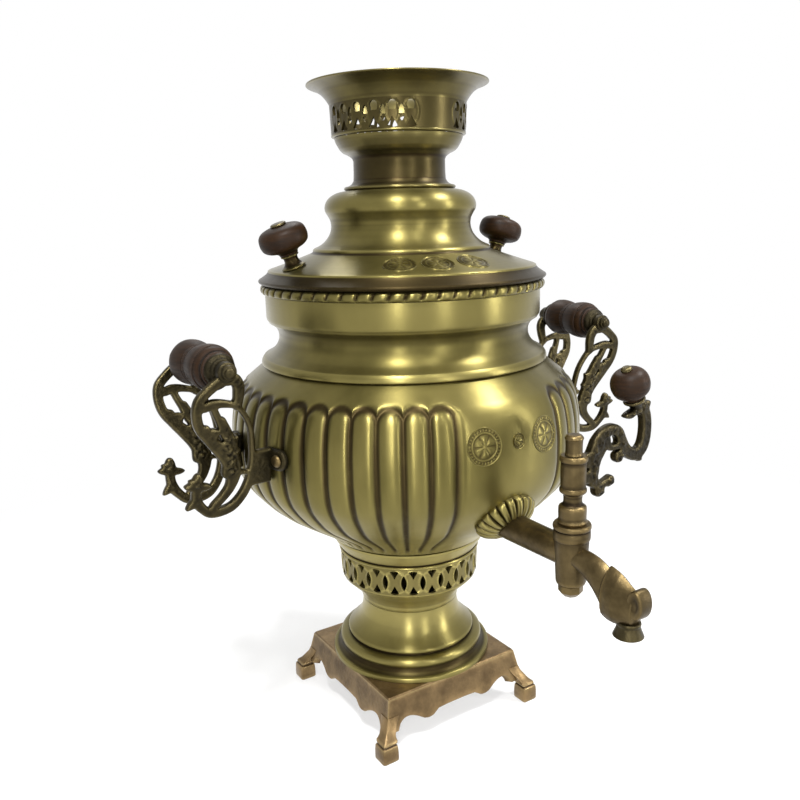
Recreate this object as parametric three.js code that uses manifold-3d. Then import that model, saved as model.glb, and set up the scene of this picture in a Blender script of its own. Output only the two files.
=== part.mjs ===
// Charcoal samovar: a gadrooned brass urn on a cast stand, with a fire tube up its middle,
// a lift-off lid and crown, two openwork cast handles with turned grips, and a key tap.
// Millimetres. Z is up and zero is the floor under the feet. The tap looks along -Y.
import * as THREE from 'three';
import { mergeVertices } from 'three/addons/utils/BufferGeometryUtils.js';
import Module from 'manifold-3d';

const wasm = await Module();
wasm.setup();

// Fits that every piece shares
const seat = 0.3;              // gap between two pieces that touch
const overrun = 3;             // how far a cutter runs past what it cuts
const slideGap = 0.6;          // play of a sleeve that lifts off a tube
const turnGap = 0.35;          // play of a plug that turns in its bore
const turnSteps = 24;          // facets round a large turned piece
const footSteps = 20;           // facets round the pedestal and the crown's socket
const tubeSteps = 16;           // facets round the fire tube and the grate
const holeSides = 4;
const knobSteps = 10;          // facets round a grip or a knob
const nozzleSteps = 12;
const curlSteps = 8;
const fastenerSteps = 6;
const nutSides = 6;

// Stand: one casting, a square plate with a scalloped apron and four hoofed legs
const standHeight = 41.7;
const standTopHalf = 58.5;
const standFloorHalf = 67.6;
const standWall = 4;
const standAirHole = 30;
const apronHeight = 24;
const legInner = 52;
const ankleLevel = 16.5;
const hoofHalf = 6.6;
const hoofHeight = 25;
const hoofSpread = 65.5;       // how far out each hoof's middle stands, on X and on Y
const apronShares = [[0.37, 0.87], [0.4, 0.72], [0.58, 0.72], [0.7, 0.93], [0.88, 1], [1, 0.9]];
const hoofShares = [[0.86, 0], [1, 0.14], [0.97, 0.48], [0.72, 0.7], [0.78, 1]];
const hoofBendShare = 0.48;     // share of its height at which a hoof bends in to its ankle

// Pedestal: spun foot with a base bead, a torus and a domed waist
const spunWall = 2;
const mouldRadius = 62.3;
const waistRadius = 37.5;
const pedestalHeight = 44;
const pedestalShares = [
  [1, 0], [1, 0.055], [0.75, 0.13], [0.77, 0.25], [0.448, 0.345], [0.51, 0.4], [0.4, 0.48], [0.18, 0.614],
  [0.05, 0.76], [0, 1],
];
const pedestalInsideShares = [[1, 0], [0.44, 0.345], [0.16, 0.614], [0, 1]];

// Vent gallery: pierced ring that lets air in under the grate
const galleryHeight = 55.7;
const galleryRadius = 53;
const galleryTopRadius = 58;
const galleryBead = 1.6;
const galleryInnerLedge = 46;
const galleryLedge = 3;
const galleryFlareHeight = 20.5;
const galleryBeadRise = 43.6;
const galleryFlareShares = [[0, 0], [0.2, 0.38], [1, 1]];
const galleryCrestShares = [[0.2, 0.25], [1, 1]];
const galleryCells = 24;
const galleryRowLow = 22.2;
const galleryRowHigh = 41;
const vesicaWidth = 4.2;
const vesicaHeight = 12.2;
const vesicaShares = [[0, 0], [1, 0.36], [1, 0.64]];
const trefoilWidth = 6.6;
const trefoilHeight = 6;

// Bulb: the water vessel, ribbed with lobes all round but for a plain panel at the tap
const bulbHeight = 135;
const bulbFootRadius = 58;
const bulbRadius = 130;
const bulbTopRadius = 103.3;
const bulbBellyRise = 79.7;
const bulbWall = 3;
const bulbLowShares = [[0, 0], [0.19, 0.11], [0.53, 0.315], [0.83, 0.57], [0.965, 0.82], [1, 1]];
const bulbHighShares = [[0.93, 0.44], [0.66, 0.74], [0, 1]];
const lobeCount = 48;
const panelLobes = 5;
const lobeDepth = 1.6;
const lobeCrown = 13;          // how far the lobes stop below the vessel's top seam
const lobeFade = 9;
const lobeFootShare = 0.04;

// Shoulder, collar and rope ring above the vessel
const collarRadius = 100;
const collarThroat = 91.8;
const shoulderHeight = 20;
const coveHeight = 12;
const collarWallHeight = 18.4;
const shoulderShares = [[1, 0], [1.07, 0.16], [0.9, 0.36], [0.3, 0.62], [0, 1]];
const coveShares = [[0.4, 0.6], [1, 1]];
const ropeHeight = 6.2;
const ropeProud = 3;
const ropeDepth = 1.6;
const ropeBeads = 36;
const ropeInner = 96.5;
const ropeShares = [[0, 0], [1, 0.2], [1, 0.8], [0, 1]];

// Fire tube and grate inside the vessel
const tubeWall = 2;
const tubeFootRadius = 40;
const tubeTopRadius = 30;
const tubeTaperHeight = 187;
const tubeShort = 4.6;         // how far the fire tube stops below the crown's neck
const tubeFlange = 2.4;
const grateThickness = 3;
const grateLedge = 3;
const grateHole = 3.6;
const grateRings = [20, 31];
const grateSlots = 6;

// Lid: edge, cone, ledge, throat and bulge, one spinning
const lidEdgeRadius = 104;
const lidEdgeHeight = 2.8;
const lidRimHeight = 7;
const lidConeFoot = 95.8;
const lidConeHeight = 11.2;
const lidLedgeRadius = 64;
const lidLedgeHeight = 3;
const lidThroat = 50.2;
const lidThroatHeight = 14.4;
const lidBulge = 54.4;
const lidBulgeHeight = 14;
const lidCapHeight = 11;
const lidTopRadius = 41;
const lidBore = 34.5;
const lidSpigotDrop = 5;
const lidSpigotGap = 1;
const lidRimShares = [[0.4, 0.55], [0, 1]];
const lidThroatShares = [[0.25, 0.4], [0, 1]];
const lidBulgeShares = [[0.5, 0.5], [1, 1]];
const lidCapShares = [[0.75, 0.6], [0, 1]];

// Lid knobs: turned wood on a brass ferrule, square to the cone
const knobShares = [[0.39, 0], [0.68, 0.09], [0.96, 0.32], [0.96, 0.68], [0.68, 0.91], [0.39, 1]];
const lidKnobRing = 86.4;
const lidKnobRadius = 16.6;
const lidKnobHeight = 19.6;
const ferruleHeight = 9.4;
const ferruleFoot = 8;
const ferruleNeck = 5.2;
const knobScrewRadius = 2;
const knobScrewHead = 5.4;
const knobHeadHeight = 1.8;
const knobNutRadius = 5;
const knobNutHeight = 3.5;

// Crown: socket over the flue, and the pierced gallery that carries the teapot
const crownFlange = 39.8;
const crownFlangeHeight = 2.4;
const crownNeck = 32.6;
const crownNeckHeight = 18;
const crownBowlRadius = 45.7;
const crownBowlHeight = 15;
const crownWall = 1.7;
const crownGalleryRadius = 47.8;
const crownWallHeight = 21.6;
const crownRim = 63.6;
const crownFlareHeight = 13.6;
const crownFlangeShares = [[1, 0], [1, 0.8], [0, 1.4]];
const crownBowlShares = [[0.53, 0.33], [0.85, 0.68], [1.05, 0.86], [1.05, 1]];
const crownFlareShares = [[0.27, 0.43], [0.66, 0.78], [1, 1]];
const crownCells = 24;
const crownPanels = 3;
const crownPlainCells = 2;
const crownRowFoot = 3.4;
const crownTriangleWidth = 5.6;
const crownTriangleHeight = 6;
const crownDropRise = 10;
const crownDropWidth = 4;
const crownDropHeight = 6.8;
const crownArchRise = 13;
const crownArchWidth = 5.6;
const crownArchHeight = 6.2;

// Tap: pipe, barrel and spout in one casting, with a ribbed rosette at the vessel's wall
const barrelOut = 177.5;
const pipeRise = 39.4;
const pipeRadius = 9.1;
const pipeBore = 5;
const pipeInside = 6;
const barrelOver = 19.9;
const barrelUnder = 17.9;
const barrelRadius = 10.6;
const barrelShares = [[0.85, 0], [0.87, 0.1], [0.98, 0.72], [1.01, 0.76], [1.01, 0.9], [1.06, 0.93], [1.06, 1]];
const plugTopRadius = 6.8;
const plugFootRadius = 5.4;
const plugPort = 4;
const spoutReach = 57.7;
const spoutFall = 31.6;
const spoutTopRise = 8.3;
const spoutWidth = 14;
const spoutBevel = 2.6;
const spoutShares = [
  [0.04, 1], [0.357, 0.924], [0.508, 0.84], [0.624, 0.826], [0.74, 0.7], [0.785, 0.595], [0.93, 0.3], [0.9, 0],
  [0.54, 0], [0.5, 0.1], [0.39, 0.329], [0.17, 0.576], [0.04, 0.62],
];
const curlRadius = 6.6;
const curlShare = [0.875, 0.415];
const mouthShare = [0.78, 0.3];
const nozzleHeight = 8.6;
const nozzleTopRadius = 6.9;
const nozzleFootRadius = 8.7;
const nozzleWall = 1.7;
const rosetteRadius = 21.5;
const rosetteRise = 8;
const rosetteSink = 2.4;
const rosetteRibs = 16;
const rosetteRibDepth = 1.2;
const rosetteShares = [[0, 0], [0.97, 0], [1, 0.35], [0.6, 0.8], [0.45, 1], [0, 1]];

// Key of the tap: plug, hub with a scrolled lever, cap and knob
const keyCollarRadius = 8.4;
const keyCollarHeight = 11;
const keyNeckRadius = 5.6;
const keyNeckHeight = 7.4;
const keyShank = 3.4;
const keyHubRadius = 7.9;
const keyHubHeight = 22.6;
const keyCapRadius = 5;
const keyCapHeight = 12.6;
const keyStud = 3;
const keyNutRadius = 7.6;
const keyNutHeight = 8;
const leverReach = 62;
const leverRise = 50;
const leverDrop = 3.4;
const leverThickness = 6;
const leverHalf = 3;
const leverShares = [
  [0.485, 0.1], [0.34, 0.05], [0.265, 0.2], [0.262, 0.45], [0.34, 0.644], [0.473, 0.738], [0.598, 0.674], [0.648, 0.514],
  [0.726, 0.37], [0.842, 0.342], [0.945, 0.47], [0.968, 0.66], [0.95, 0.84], [0.87, 0.94],
  [0.76, 0.94], [0.67, 0.87],
];
const leverWidthShares = [1.2, 1.3, 1.3, 1.2, 1.1, 1.1, 1.1, 1, 1.1, 1.2, 1.2, 1.1, 1.1, 1.2, 1.1, 1];
const leverRootShares = [[0.1, 0.4], [0.27, 0.4]];
const leverRootWidthShares = [3.4, 3];
const leverLobeShares = [[0.33, 0.05, 1.6], [0.63, 0.37, 1.3], [0.9, 0.3, 1.2]];
const leverPostRadius = 4.2;
const leverKnobRadius = 11.6;
const leverKnobHeight = 19.4;
const leverKnobTilt = 22;      // degrees that the knob leans back toward the hub
const leverKnobShare = [0.79, 1.05];
const knobPinRadius = 1.7;
const knobPinHead = 3.4;
const knobPinDepth = 5;
const keyTravel = 90;

// Handles: splayed openwork brackets in pairs, with a grip across their tops
const handleTurn = 5;          // degrees that each handle stands forward of square, toward the tap
const bracketInner = 142;
const bracketReach = 46;
const bracketRise = 94;
const bracketFootRise = 56.7;  // above the vessel's foot
const bracketLean = 10.7;      // degrees that each bracket leans out from the vertical
const bracketPivotRise = 51;
const bracketSpread = 26.1;
const bracketThickness = 5;
const bandHalf = 3.2;
const boltOut = 161;
const boltRise = 93.6;
const bossRadius = 7.2;
const bossWidth = 6.4;
const gripBoltRadius = 2.2;
const gripHeadRadius = 5.2;
const gripHeadHeight = 4.4;
const cupRadius = 10;
const cupLength = 5.5;
const gripRadius = 14.5;
const gripLobeShares = [[0.68, 1], [0.95, 0.84], [1, 0.5], [0.9, 0]];
const lugFootRise = 14;
const lugHeight = 25;
const tongueTurn = 13.8;       // degrees round the vessel from the handle's middle to its screws
const tongueRise = 31;
const tongueRadius = 7;
const tongueThickness = 3;
const fixScrewRadius = 2;
const fixHeadRadius = 4;
const fixHeadHeight = 2.2;
const fixNutRadius = 4.8;
const fixNutHeight = 3;
const scrollShares = [
  [0.4, 0.95], [0.52, 0.94], [0.68, 0.89], [0.79, 0.83], [0.82, 0.74], [0.78, 0.65], [0.66, 0.57], [0.51, 0.49],
  [0.36, 0.4], [0.28, 0.29], [0.32, 0.19], [0.44, 0.11], [0.58, 0.055],
];
const scrollWidthShares = [1, 1, 1, 1, 1, 1, 1.1, 1.5, 2, 1.7, 1.1, 0.9, 0.8];
const outerShares = [
  [0.74, 0.78], [0.56, 0.8], [0.32, 0.775], [0.13, 0.68], [0.03, 0.53], [0.02, 0.35], [0.08, 0.17], [0.22, 0.06],
  [0.45, 0.015], [0.66, 0.035], [0.8, 0.13], [0.83, 0.25],
];
const outerWidthShares = [0.6, 0.55, 0.55, 0.55, 0.55, 0.6, 0.85, 0.95, 1, 0.95, 0.75, 0.7];
const hornShares = [[0.38, 0.95], [0.27, 0.91], [0.24, 0.84], [0.25, 0.765]];
const hornWidthShares = [1.2, 1];
const leafShares = [[0.46, 0.7], [0.39, 0.61], [0.34, 0.5], [0.33, 0.42]];
const leafWidthShares = [0.3, 0.8, 1.3, 1.6];
const spurShares = [[0.3, 0.27], [0.04, 0.26]];
const spurWidthShares = [0.8, 0.6];
const trefoilLeafShares = [
  [0.82, 0.335], [0.9, 0.275], [1, 0.26], [0.93, 0.185], [0.985, 0.085], [0.84, 0.12], [0.77, 0.18], [0.62, 0.225],
  [0.75, 0.27],
];
const boltShare = [0.413, 0.994];

const finishes = {
  brass: { color: 0x9a8a4e, roughness: 0.34, metalness: 1 },
  bronze: { color: 0x6f5c3c, roughness: 0.45, metalness: 1 },
  darkBronze: { color: 0x4a4330, roughness: 0.5, metalness: 1 },
  iron: { color: 0x35332f, roughness: 0.8, metalness: 0.6 },
  wood: { color: 0x3a2119, roughness: 0.55, metalness: 0 },
};

// Levels up the middle, each piece standing on the one below
const pedestalFoot = standHeight + seat;
const galleryFoot = pedestalFoot + pedestalHeight + seat;
const galleryTop = galleryFoot + galleryHeight;
const bulbFoot = galleryTop + seat;
const bulbBelly = bulbFoot + bulbBellyRise;
const bulbTop = bulbFoot + bulbHeight;
const collarFoot = bulbTop + seat;
const collarTop = collarFoot + shoulderHeight + coveHeight + collarWallHeight;
const ropeFoot = collarTop + seat;
const lidFoot = ropeFoot + ropeHeight + seat;
const lidConeLevel = lidFoot + lidEdgeHeight + lidRimHeight;
const lidLedgeLevel = lidConeLevel + lidConeHeight;
const lidThroatLevel = lidLedgeLevel + lidLedgeHeight + lidThroatHeight;
const lidBulgeLevel = lidThroatLevel + lidBulgeHeight;
const lidTop = lidBulgeLevel + lidCapHeight;
const crownFoot = lidTop + seat;
const crownNeckTop = crownFoot + crownFlangeHeight + crownNeckHeight;
const crownBowlTop = crownNeckTop + crownBowlHeight;
const crownGalleryFoot = crownBowlTop + seat;
const crownWallTop = crownGalleryFoot + crownWallHeight;
const pipeLevel = bulbFoot + pipeRise;
const barrelFoot = pipeLevel - barrelUnder;
const barrelTop = pipeLevel + barrelOver;
const keyNeckTop = barrelTop + seat + keyCollarHeight + keyNeckHeight;
const hubFoot = keyNeckTop + seat;
const hubTop = hubFoot + keyHubHeight;
const bracketFoot = bulbFoot + bracketFootRise;
const bracketPivot = bracketFoot + bracketPivotRise;
const boltLevel = bracketFoot + boltRise;
const tongueLevel = bracketFoot + tongueRise;
const handleTurns = { right: -handleTurn, left: 180 + handleTurn };

const { degToRad, radToDeg, lerp: mix, clamp, euclideanModulo } = THREE.MathUtils;

// A closed solid from any three.js geometry
function solid(geometry) {
  const bare = geometry.index ? geometry.toNonIndexed() : geometry;
  bare.deleteAttribute('normal');
  bare.deleteAttribute('uv');
  const merged = mergeVertices(bare);
  const places = merged.attributes.position.array;
  const corners = [];
  for (let i = 0; i < merged.index.count; i += 3) {
    const [a, b, c] = [0, 1, 2].map((k) => merged.index.getX(i + k));
    if (a !== b && b !== c && c !== a) corners.push([a, b, c]);
  }
  const outward = signedVolume(places, corners) > 0;
  const turnedOut = outward ? corners : corners.map(([a, b, c]) => [b, a, c]);
  return new wasm.Manifold(new wasm.Mesh({
    numProp: 3,
    vertProperties: Float32Array.from(places),
    triVerts: Uint32Array.from(turnedOut.flat()),
  }));
}

function signedVolume(places, corners) {
  const at = (i) => new THREE.Vector3().fromArray(places, i * 3);
  return corners.reduce((sum, [a, b, c]) => sum + at(a).dot(at(b).cross(at(c))), 0);
}

function piece(name, body, finish) {
  const mesh = body.getMesh();
  const geometry = new THREE.BufferGeometry();
  geometry.setAttribute('position', new THREE.BufferAttribute(mesh.vertProperties, 3));
  geometry.setIndex(new THREE.BufferAttribute(mesh.triVerts, 1));
  geometry.computeVertexNormals();
  const part = new THREE.Mesh(geometry, new THREE.MeshStandardMaterial(finishes[finish]));
  part.name = name;
  return part;
}

const joined = (bodies) => bodies.reduce((sum, body) => sum.add(body));
const moved = (body, x, y, z) => body.translate([x, y, z]);
const spun = (body, angle) => body.rotate([0, 0, angle]);
const rings = (count, make, start = 0) => Array.from({ length: count }, (_, i) => spun(make(i), (360 * (i + start)) / count));

// A geometry turned about Z from [radius, height] points, closed on the axis or on itself
function lathe(points, steps) {
  const onAxis = points[0][0] === 0 && points[points.length - 1][0] === 0;
  const closed = onAxis ? points : [...points, points[0]];
  const profile = closed.map(([r, z]) => new THREE.Vector2(r, z));
  return new THREE.LatheGeometry(profile, steps).rotateX(Math.PI / 2);
}

const turned = (points, steps = turnSteps) => solid(lathe(points, steps));
const rod = (radius, low, high, steps = knobSteps) => turned([[0, low], [radius, low], [radius, high], [0, high]], steps);
const alongX = (body) => body.rotate([0, 90, 0]);
const alongFront = (body) => body.rotate([90, 0, 0]);

// Places between two corners, as shares of the way in radius and in height
function stations(shares, [r0, z0], [r1, z1]) {
  return shares.map(([r, z]) => [mix(r0, r1, r), mix(z0, z1, z)]);
}

// A flat outline drawn in X and Z, as thick as asked, centred on Y
function plate(points, thickness, bevel = 0) {
  const shape = new THREE.Shape(points.map(([x, y]) => new THREE.Vector2(x, y)));
  const geometry = new THREE.ExtrudeGeometry(shape, {
    depth: thickness - 2 * bevel,
    bevelEnabled: bevel > 0,
    bevelSize: bevel,
    bevelOffset: -bevel,
    bevelThickness: bevel,
    bevelSegments: 1,
    steps: 1,
  });
  return solid(geometry.translate(0, 0, bevel - thickness / 2).rotateX(Math.PI / 2));
}

const disc = (x, z, radius, thickness, steps = 7) => moved(
  alongFront(rod(radius, -thickness / 2, thickness / 2, steps)), x, 0, z,
);

// A band of changing width along a smooth line, as an outline
function band(line, widths, half) {
  const curve = new THREE.SplineCurve(line.map(([x, z]) => new THREE.Vector2(x, z)));
  const count = line.length - 1;
  const left = [];
  const right = [];
  for (let i = 0; i <= count; i += 1) {
    const t = i / count;
    const place = curve.getPoint(t);
    const along = curve.getTangent(t);
    const slot = Math.min(Math.floor(t * (widths.length - 1)), widths.length - 2);
    const reach = half * mix(widths[slot], widths[slot + 1], t * (widths.length - 1) - slot);
    left.push([place.x - along.y * reach, place.y + along.x * reach]);
    right.unshift([place.x + along.y * reach, place.y - along.x * reach]);
  }
  return [...left, ...right];
}

// Stand
const standSlope = (height) => mix(standFloorHalf, standTopHalf, height / standHeight);

function squareBlock(halfLow, halfHigh, low, high) {
  const geometry = new THREE.CylinderGeometry(halfHigh * Math.SQRT2, halfLow * Math.SQRT2, high - low, 4);
  return solid(geometry.rotateX(Math.PI / 2).rotateZ(Math.PI / 4).translate(0, 0, (low + high) / 2));
}

function apronCutter() {
  const edge = apronShares.map(([x, z]) => [x * legInner, z * apronHeight]);
  const half = [...edge, [legInner, -overrun]];
  const mirrored = half.map(([x, z]) => [-x, z]).reverse();
  return plate([...mirrored, ...half], 2 * (standFloorHalf + overrun));
}

function hoof() {
  const profile = hoofShares.map(([r, z]) => [r * hoofHalf * Math.SQRT2, z * hoofHeight]);
  const geometry = lathe([[0, 0], ...profile, [0, hoofHeight]], 4).rotateZ(Math.PI / 4);
  const place = geometry.attributes.position;
  const leg = (legInner + standSlope(hoofHeight)) / 2;
  for (let i = 0; i < place.count; i += 1) {
    const bend = (place.getZ(i) / hoofHeight - hoofBendShare) / (1 - hoofBendShare);
    const out = mix(hoofSpread, leg, clamp(bend, 0, 1));
    place.setXY(i, place.getX(i) + out, place.getY(i) + out);
  }
  return solid(geometry);
}

function stand() {
  const plateFoot = standHeight - standWall;
  const inside = squareBlock(
    standSlope(-overrun) - standWall, standSlope(plateFoot) - standWall, -overrun, plateFoot,
  );
  const outside = squareBlock(standSlope(ankleLevel), standTopHalf, ankleLevel, standHeight);
  const cut = outside.subtract(inside).subtract(apronCutter()).subtract(spun(apronCutter(), 90));
  return joined([cut, ...rings(4, hoof)]).subtract(rod(standAirHole, plateFoot - overrun, standHeight + overrun));
}

// Pedestal and vent gallery
function pedestal() {
  const outer = stations(pedestalShares, [waistRadius, pedestalFoot], [mouldRadius, pedestalFoot + pedestalHeight]);
  const inside = stations(pedestalInsideShares, [waistRadius, pedestalFoot], [mouldRadius, pedestalFoot + pedestalHeight]);
  const inner = inside.map(([r, z]) => [r - spunWall, z]).reverse();
  return turned([...outer, ...inner], footSteps);
}

// Pierces a wall from outside, square to the front and then spun to its place
const piercing = (points, reach, turn) => spun(moved(plate(points, reach), 0, -reach, 0), turn);

// An upright or hanging triangle
const wedge = (width, foot, rise) => [[-width / 2, foot], [width / 2, foot], [0, foot + rise]];

// A pointed oval
function vesica(width, height, foot) {
  const half = vesicaShares.map(([x, z]) => [(x * width) / 2, foot + z * height]);
  const other = half.slice(1).map(([x, z]) => [-x, z]).reverse();
  return [...half, [0, foot + height], ...other];
}

// A cell with straight sides and a pointed top
function archCell(width, foot, height) {
  const side = width / 2;
  const spring = foot + height * 0.6;
  return [[-side, foot], [side, foot], [side, spring], [0, foot + height], [-side, spring]];
}

function ventGallery() {
  const wallFoot = galleryFoot + galleryFlareHeight;
  const beadLevel = galleryFoot + galleryBeadRise;
  const flare = stations(galleryFlareShares, [waistRadius, galleryFoot], [galleryRadius, wallFoot]);
  const crest = stations(galleryCrestShares, [galleryRadius, beadLevel], [galleryTopRadius, galleryTop]);
  const body = turned([
    ...flare, [galleryRadius, beadLevel - galleryBead], [galleryRadius + galleryBead, beadLevel - galleryBead / 2],
    ...crest, [galleryInnerLedge, galleryTop], [galleryInnerLedge, galleryTop - galleryLedge],
    [galleryRadius - spunWall, galleryTop - 2 * galleryLedge],
    ...flare.slice(1).reverse().map(([r, z]) => [r - spunWall, z]), [waistRadius - spunWall, galleryFoot],
  ], galleryCells);
  const pitch = 360 / galleryCells;
  const centre = galleryFoot + (galleryRowLow + galleryRowHigh) / 2;
  const low = galleryFoot + galleryRowLow;
  const high = galleryFoot + galleryRowHigh;
  const cuts = [];
  for (let i = 0; i < galleryCells; i += 1) {
    cuts.push(piercing(vesica(vesicaWidth, vesicaHeight, centre - vesicaHeight / 2), galleryRadius, i * pitch));
    cuts.push(piercing(wedge(trefoilWidth, low, trefoilHeight), galleryRadius, (i + 0.5) * pitch));
    cuts.push(piercing(wedge(trefoilWidth, high, -trefoilHeight), galleryRadius, (i + 0.5) * pitch));
  }
  return spun(body, -pitch / 4).subtract(joined(cuts));
}

// Bulb
function bulbProfile(proud = 0) {
  const low = stations(bulbLowShares, [bulbFootRadius, bulbFoot], [bulbRadius, bulbBelly]);
  const high = stations(bulbHighShares, [bulbTopRadius, bulbBelly], [bulbRadius, bulbTop]);
  return [...low, ...high].map(([r, z]) => [r + proud, z]);
}

// The outside of the vessel grown by a distance, to trim what lies against it. Its flats stay
// outside the true round.
function vesselEnvelope(distance) {
  const share = 1 / Math.cos(Math.PI / lobeCount);
  const profile = bulbProfile(distance).map(([r, z]) => [r * share, z]);
  return turned([[0, bulbFoot], ...profile, [0, bulbTop]], lobeCount);
}

const bulbInside = () => bulbProfile(-bulbWall);

// Radius of the vessel's wall at a level
function wallRadius(level, profile = bulbProfile()) {
  const next = profile.findIndex(([, z]) => z > level);
  const [r0, z0] = profile[next - 1];
  const [r1, z1] = profile[next];
  return mix(r0, r1, (level - z0) / (z1 - z0));
}

function grooveDepth(angle, level) {
  const pitch = (2 * Math.PI) / lobeCount;
  const fromFront = Math.abs(euclideanModulo(angle + Math.PI, 2 * Math.PI) - Math.PI);
  if (fromFront < (panelLobes / 2 - 0.1) * pitch) return 0;
  const under = clamp((bulbTop - lobeCrown - level) / lobeFade, 0, 1);
  const above = clamp((level - bulbFoot) / (bulbHeight * lobeFootShare), 0, 1);
  return lobeDepth * Math.min(under, above);
}

function bulb() {
  const profile = [[0, bulbFoot], ...bulbProfile(), [0, bulbTop]];
  const geometry = lathe(profile, lobeCount * 2);
  const place = geometry.attributes.position;
  for (let i = 0; i < place.count; i += 1) {
    const column = Math.floor(i / profile.length);
    const [radius, level] = profile[i % profile.length];
    const angle = (column * Math.PI) / lobeCount;
    const depth = column % 2 === 1 && radius > 0 ? grooveDepth(angle, level) : 0;
    place.setXYZ(i, (radius - depth) * Math.sin(angle), (depth - radius) * Math.cos(angle), level);
  }
  const hollow = turned([
    [0, bulbFoot - overrun], [bulbFootRadius - bulbWall, bulbFoot - overrun],
    ...bulbInside(), [bulbTopRadius - bulbWall, bulbTop + overrun], [0, bulbTop + overrun],
  ]);
  const tapHole = moved(alongFront(rod(pipeRadius + seat, 0, barrelOut)), 0, 0, pipeLevel);
  return solid(geometry).subtract(hollow).subtract(tapHole).subtract(joined(fixHoles()));
}

// Shoulder, collar and rope ring
function collar() {
  const throat = collarFoot + shoulderHeight;
  const edge = throat + coveHeight;
  const shoulder = stations(shoulderShares, [collarThroat, collarFoot], [bulbTopRadius, throat]);
  const cove = stations(coveShares, [collarThroat, throat], [collarRadius, edge]);
  const inner = [
    [collarRadius, collarTop], [collarRadius, edge], [collarThroat, throat], [bulbTopRadius, collarFoot],
  ];
  return turned([...shoulder, ...cove, [collarRadius, collarTop], ...inner.map(([r, z]) => [r - spunWall, z])]);
}

function rope() {
  const outer = collarRadius + seat;
  const profile = stations(ropeShares, [ropeInner, ropeFoot], [outer + ropeProud, ropeFoot + ropeHeight]);
  const geometry = lathe(profile, ropeBeads * 2);
  const place = geometry.attributes.position;
  const share = 1 - ropeDepth / (outer + ropeProud);
  for (let i = 0; i < place.count; i += 1) {
    const column = Math.floor(i / (profile.length + 1));
    const onCrest = [1, 2].includes(i % (profile.length + 1));
    if (column % 2 === 0 && onCrest) place.setXY(i, place.getX(i) * share, place.getY(i) * share);
  }
  return solid(geometry);
}

// Fire tube and grate
const ledgeLevel = bulbFoot + 2 * tubeFlange;

function fireTube() {
  const inner = tubeFootRadius - tubeWall;
  const flange = bulbFootRadius - bulbWall - slideGap;
  const flue = tubeTopRadius - tubeWall;
  const top = crownNeckTop - tubeShort;
  return turned([
    [inner - grateLedge, bulbFoot], [flange, bulbFoot], [flange, bulbFoot + tubeFlange],
    [tubeFootRadius, bulbFoot + tubeFlange], [tubeTopRadius, bulbFoot + tubeTaperHeight],
    [tubeTopRadius, top], [flue, top], [flue, bulbFoot + tubeTaperHeight],
    [inner - seat, ledgeLevel], [inner - grateLedge, ledgeLevel],
  ], tubeSteps);
}

function grate() {
  const low = ledgeLevel + seat;
  const hole = rod(grateHole, low - overrun, low + grateThickness + overrun, holeSides);
  const holes = grateRings.flatMap((ring, row) => rings(grateSlots, () => moved(hole, ring, 0, 0), row / 2));
  const disk = rod(tubeFootRadius - tubeWall - 2 * slideGap, low, low + grateThickness, tubeSteps);
  return disk.subtract(joined([hole, ...holes]));
}

// Lid
function lidProfile() {
  const edge = [lidEdgeRadius, lidFoot + lidEdgeHeight];
  const cone = [lidConeFoot, lidConeLevel];
  const ledge = [lidLedgeRadius, lidLedgeLevel + lidLedgeHeight];
  const throat = [lidThroat, lidThroatLevel];
  const bulge = [lidBulge, lidBulgeLevel];
  return [
    [lidEdgeRadius - lidEdgeHeight, lidFoot], edge,
    ...stations(lidRimShares, [cone[0], edge[1]], [edge[0], cone[1]]),
    [lidLedgeRadius, lidLedgeLevel], ledge,
    ...stations(lidThroatShares, [throat[0], ledge[1]], [ledge[0], throat[1]]),
    ...stations(lidBulgeShares, throat, bulge),
    ...stations(lidCapShares, [lidTopRadius, bulge[1]], [bulge[0], lidTop]),
  ];
}

function lid() {
  const spigot = ropeInner - lidSpigotGap;
  const inner = [
    [lidBore, lidTop], [lidBore, lidTop - spunWall], [lidTopRadius - spunWall, lidTop - spunWall],
    [lidThroat - spunWall, lidThroatLevel], [lidThroat - spunWall, lidLedgeLevel], [lidLedgeRadius, lidLedgeLevel - coneDrop],
    [spigot - spunWall, coneRise(spigot - spunWall) - coneDrop], [spigot - spunWall, lidFoot - lidSpigotDrop],
    [spigot, lidFoot - lidSpigotDrop], [spigot, lidFoot],
  ];
  const bores = rings(2, () => onCone(rod(knobScrewRadius + seat, -4 * spunWall, 4 * spunWall, fastenerSteps)));
  return turned([...lidProfile(), ...inner]).subtract(joined(bores));
}

// The knobs stand square to the lid's cone: drawn upright, then leaned and moved out
const coneRise = (r) => mix(lidLedgeLevel, lidConeLevel, (r - lidLedgeRadius) / (lidConeFoot - lidLedgeRadius));
const coneTilt = radToDeg(Math.atan2(lidConeHeight, lidConeFoot - lidLedgeRadius));
const coneLevel = coneRise(lidKnobRing);
const coneDrop = 1.4 * spunWall;
const coneWall = 1.5 * spunWall + seat;
const onCone = (body) => moved(body.rotate([0, coneTilt, 0]), lidKnobRing, 0, coneLevel);

// A round knob or grip lobe about Z with a bore through it
function ball(radius, height, foot, bore) {
  const profile = knobShares.map(([r, z]) => [r * radius, foot + z * height]);
  return [[bore, foot], ...profile, [bore, foot + height]];
}

const knobFoot = ferruleHeight + seat;
const lidKnob = () => turned(ball(lidKnobRadius, lidKnobHeight, knobFoot, knobScrewRadius + seat), knobSteps);

const lidFerrule = () => turned([
  [knobScrewRadius + seat, seat], [ferruleFoot, seat], [ferruleFoot, ferruleHeight * 0.3],
  [ferruleNeck, ferruleHeight * 0.6], [ferruleNeck, ferruleHeight], [knobScrewRadius + seat, ferruleHeight],
], knobSteps);

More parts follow.
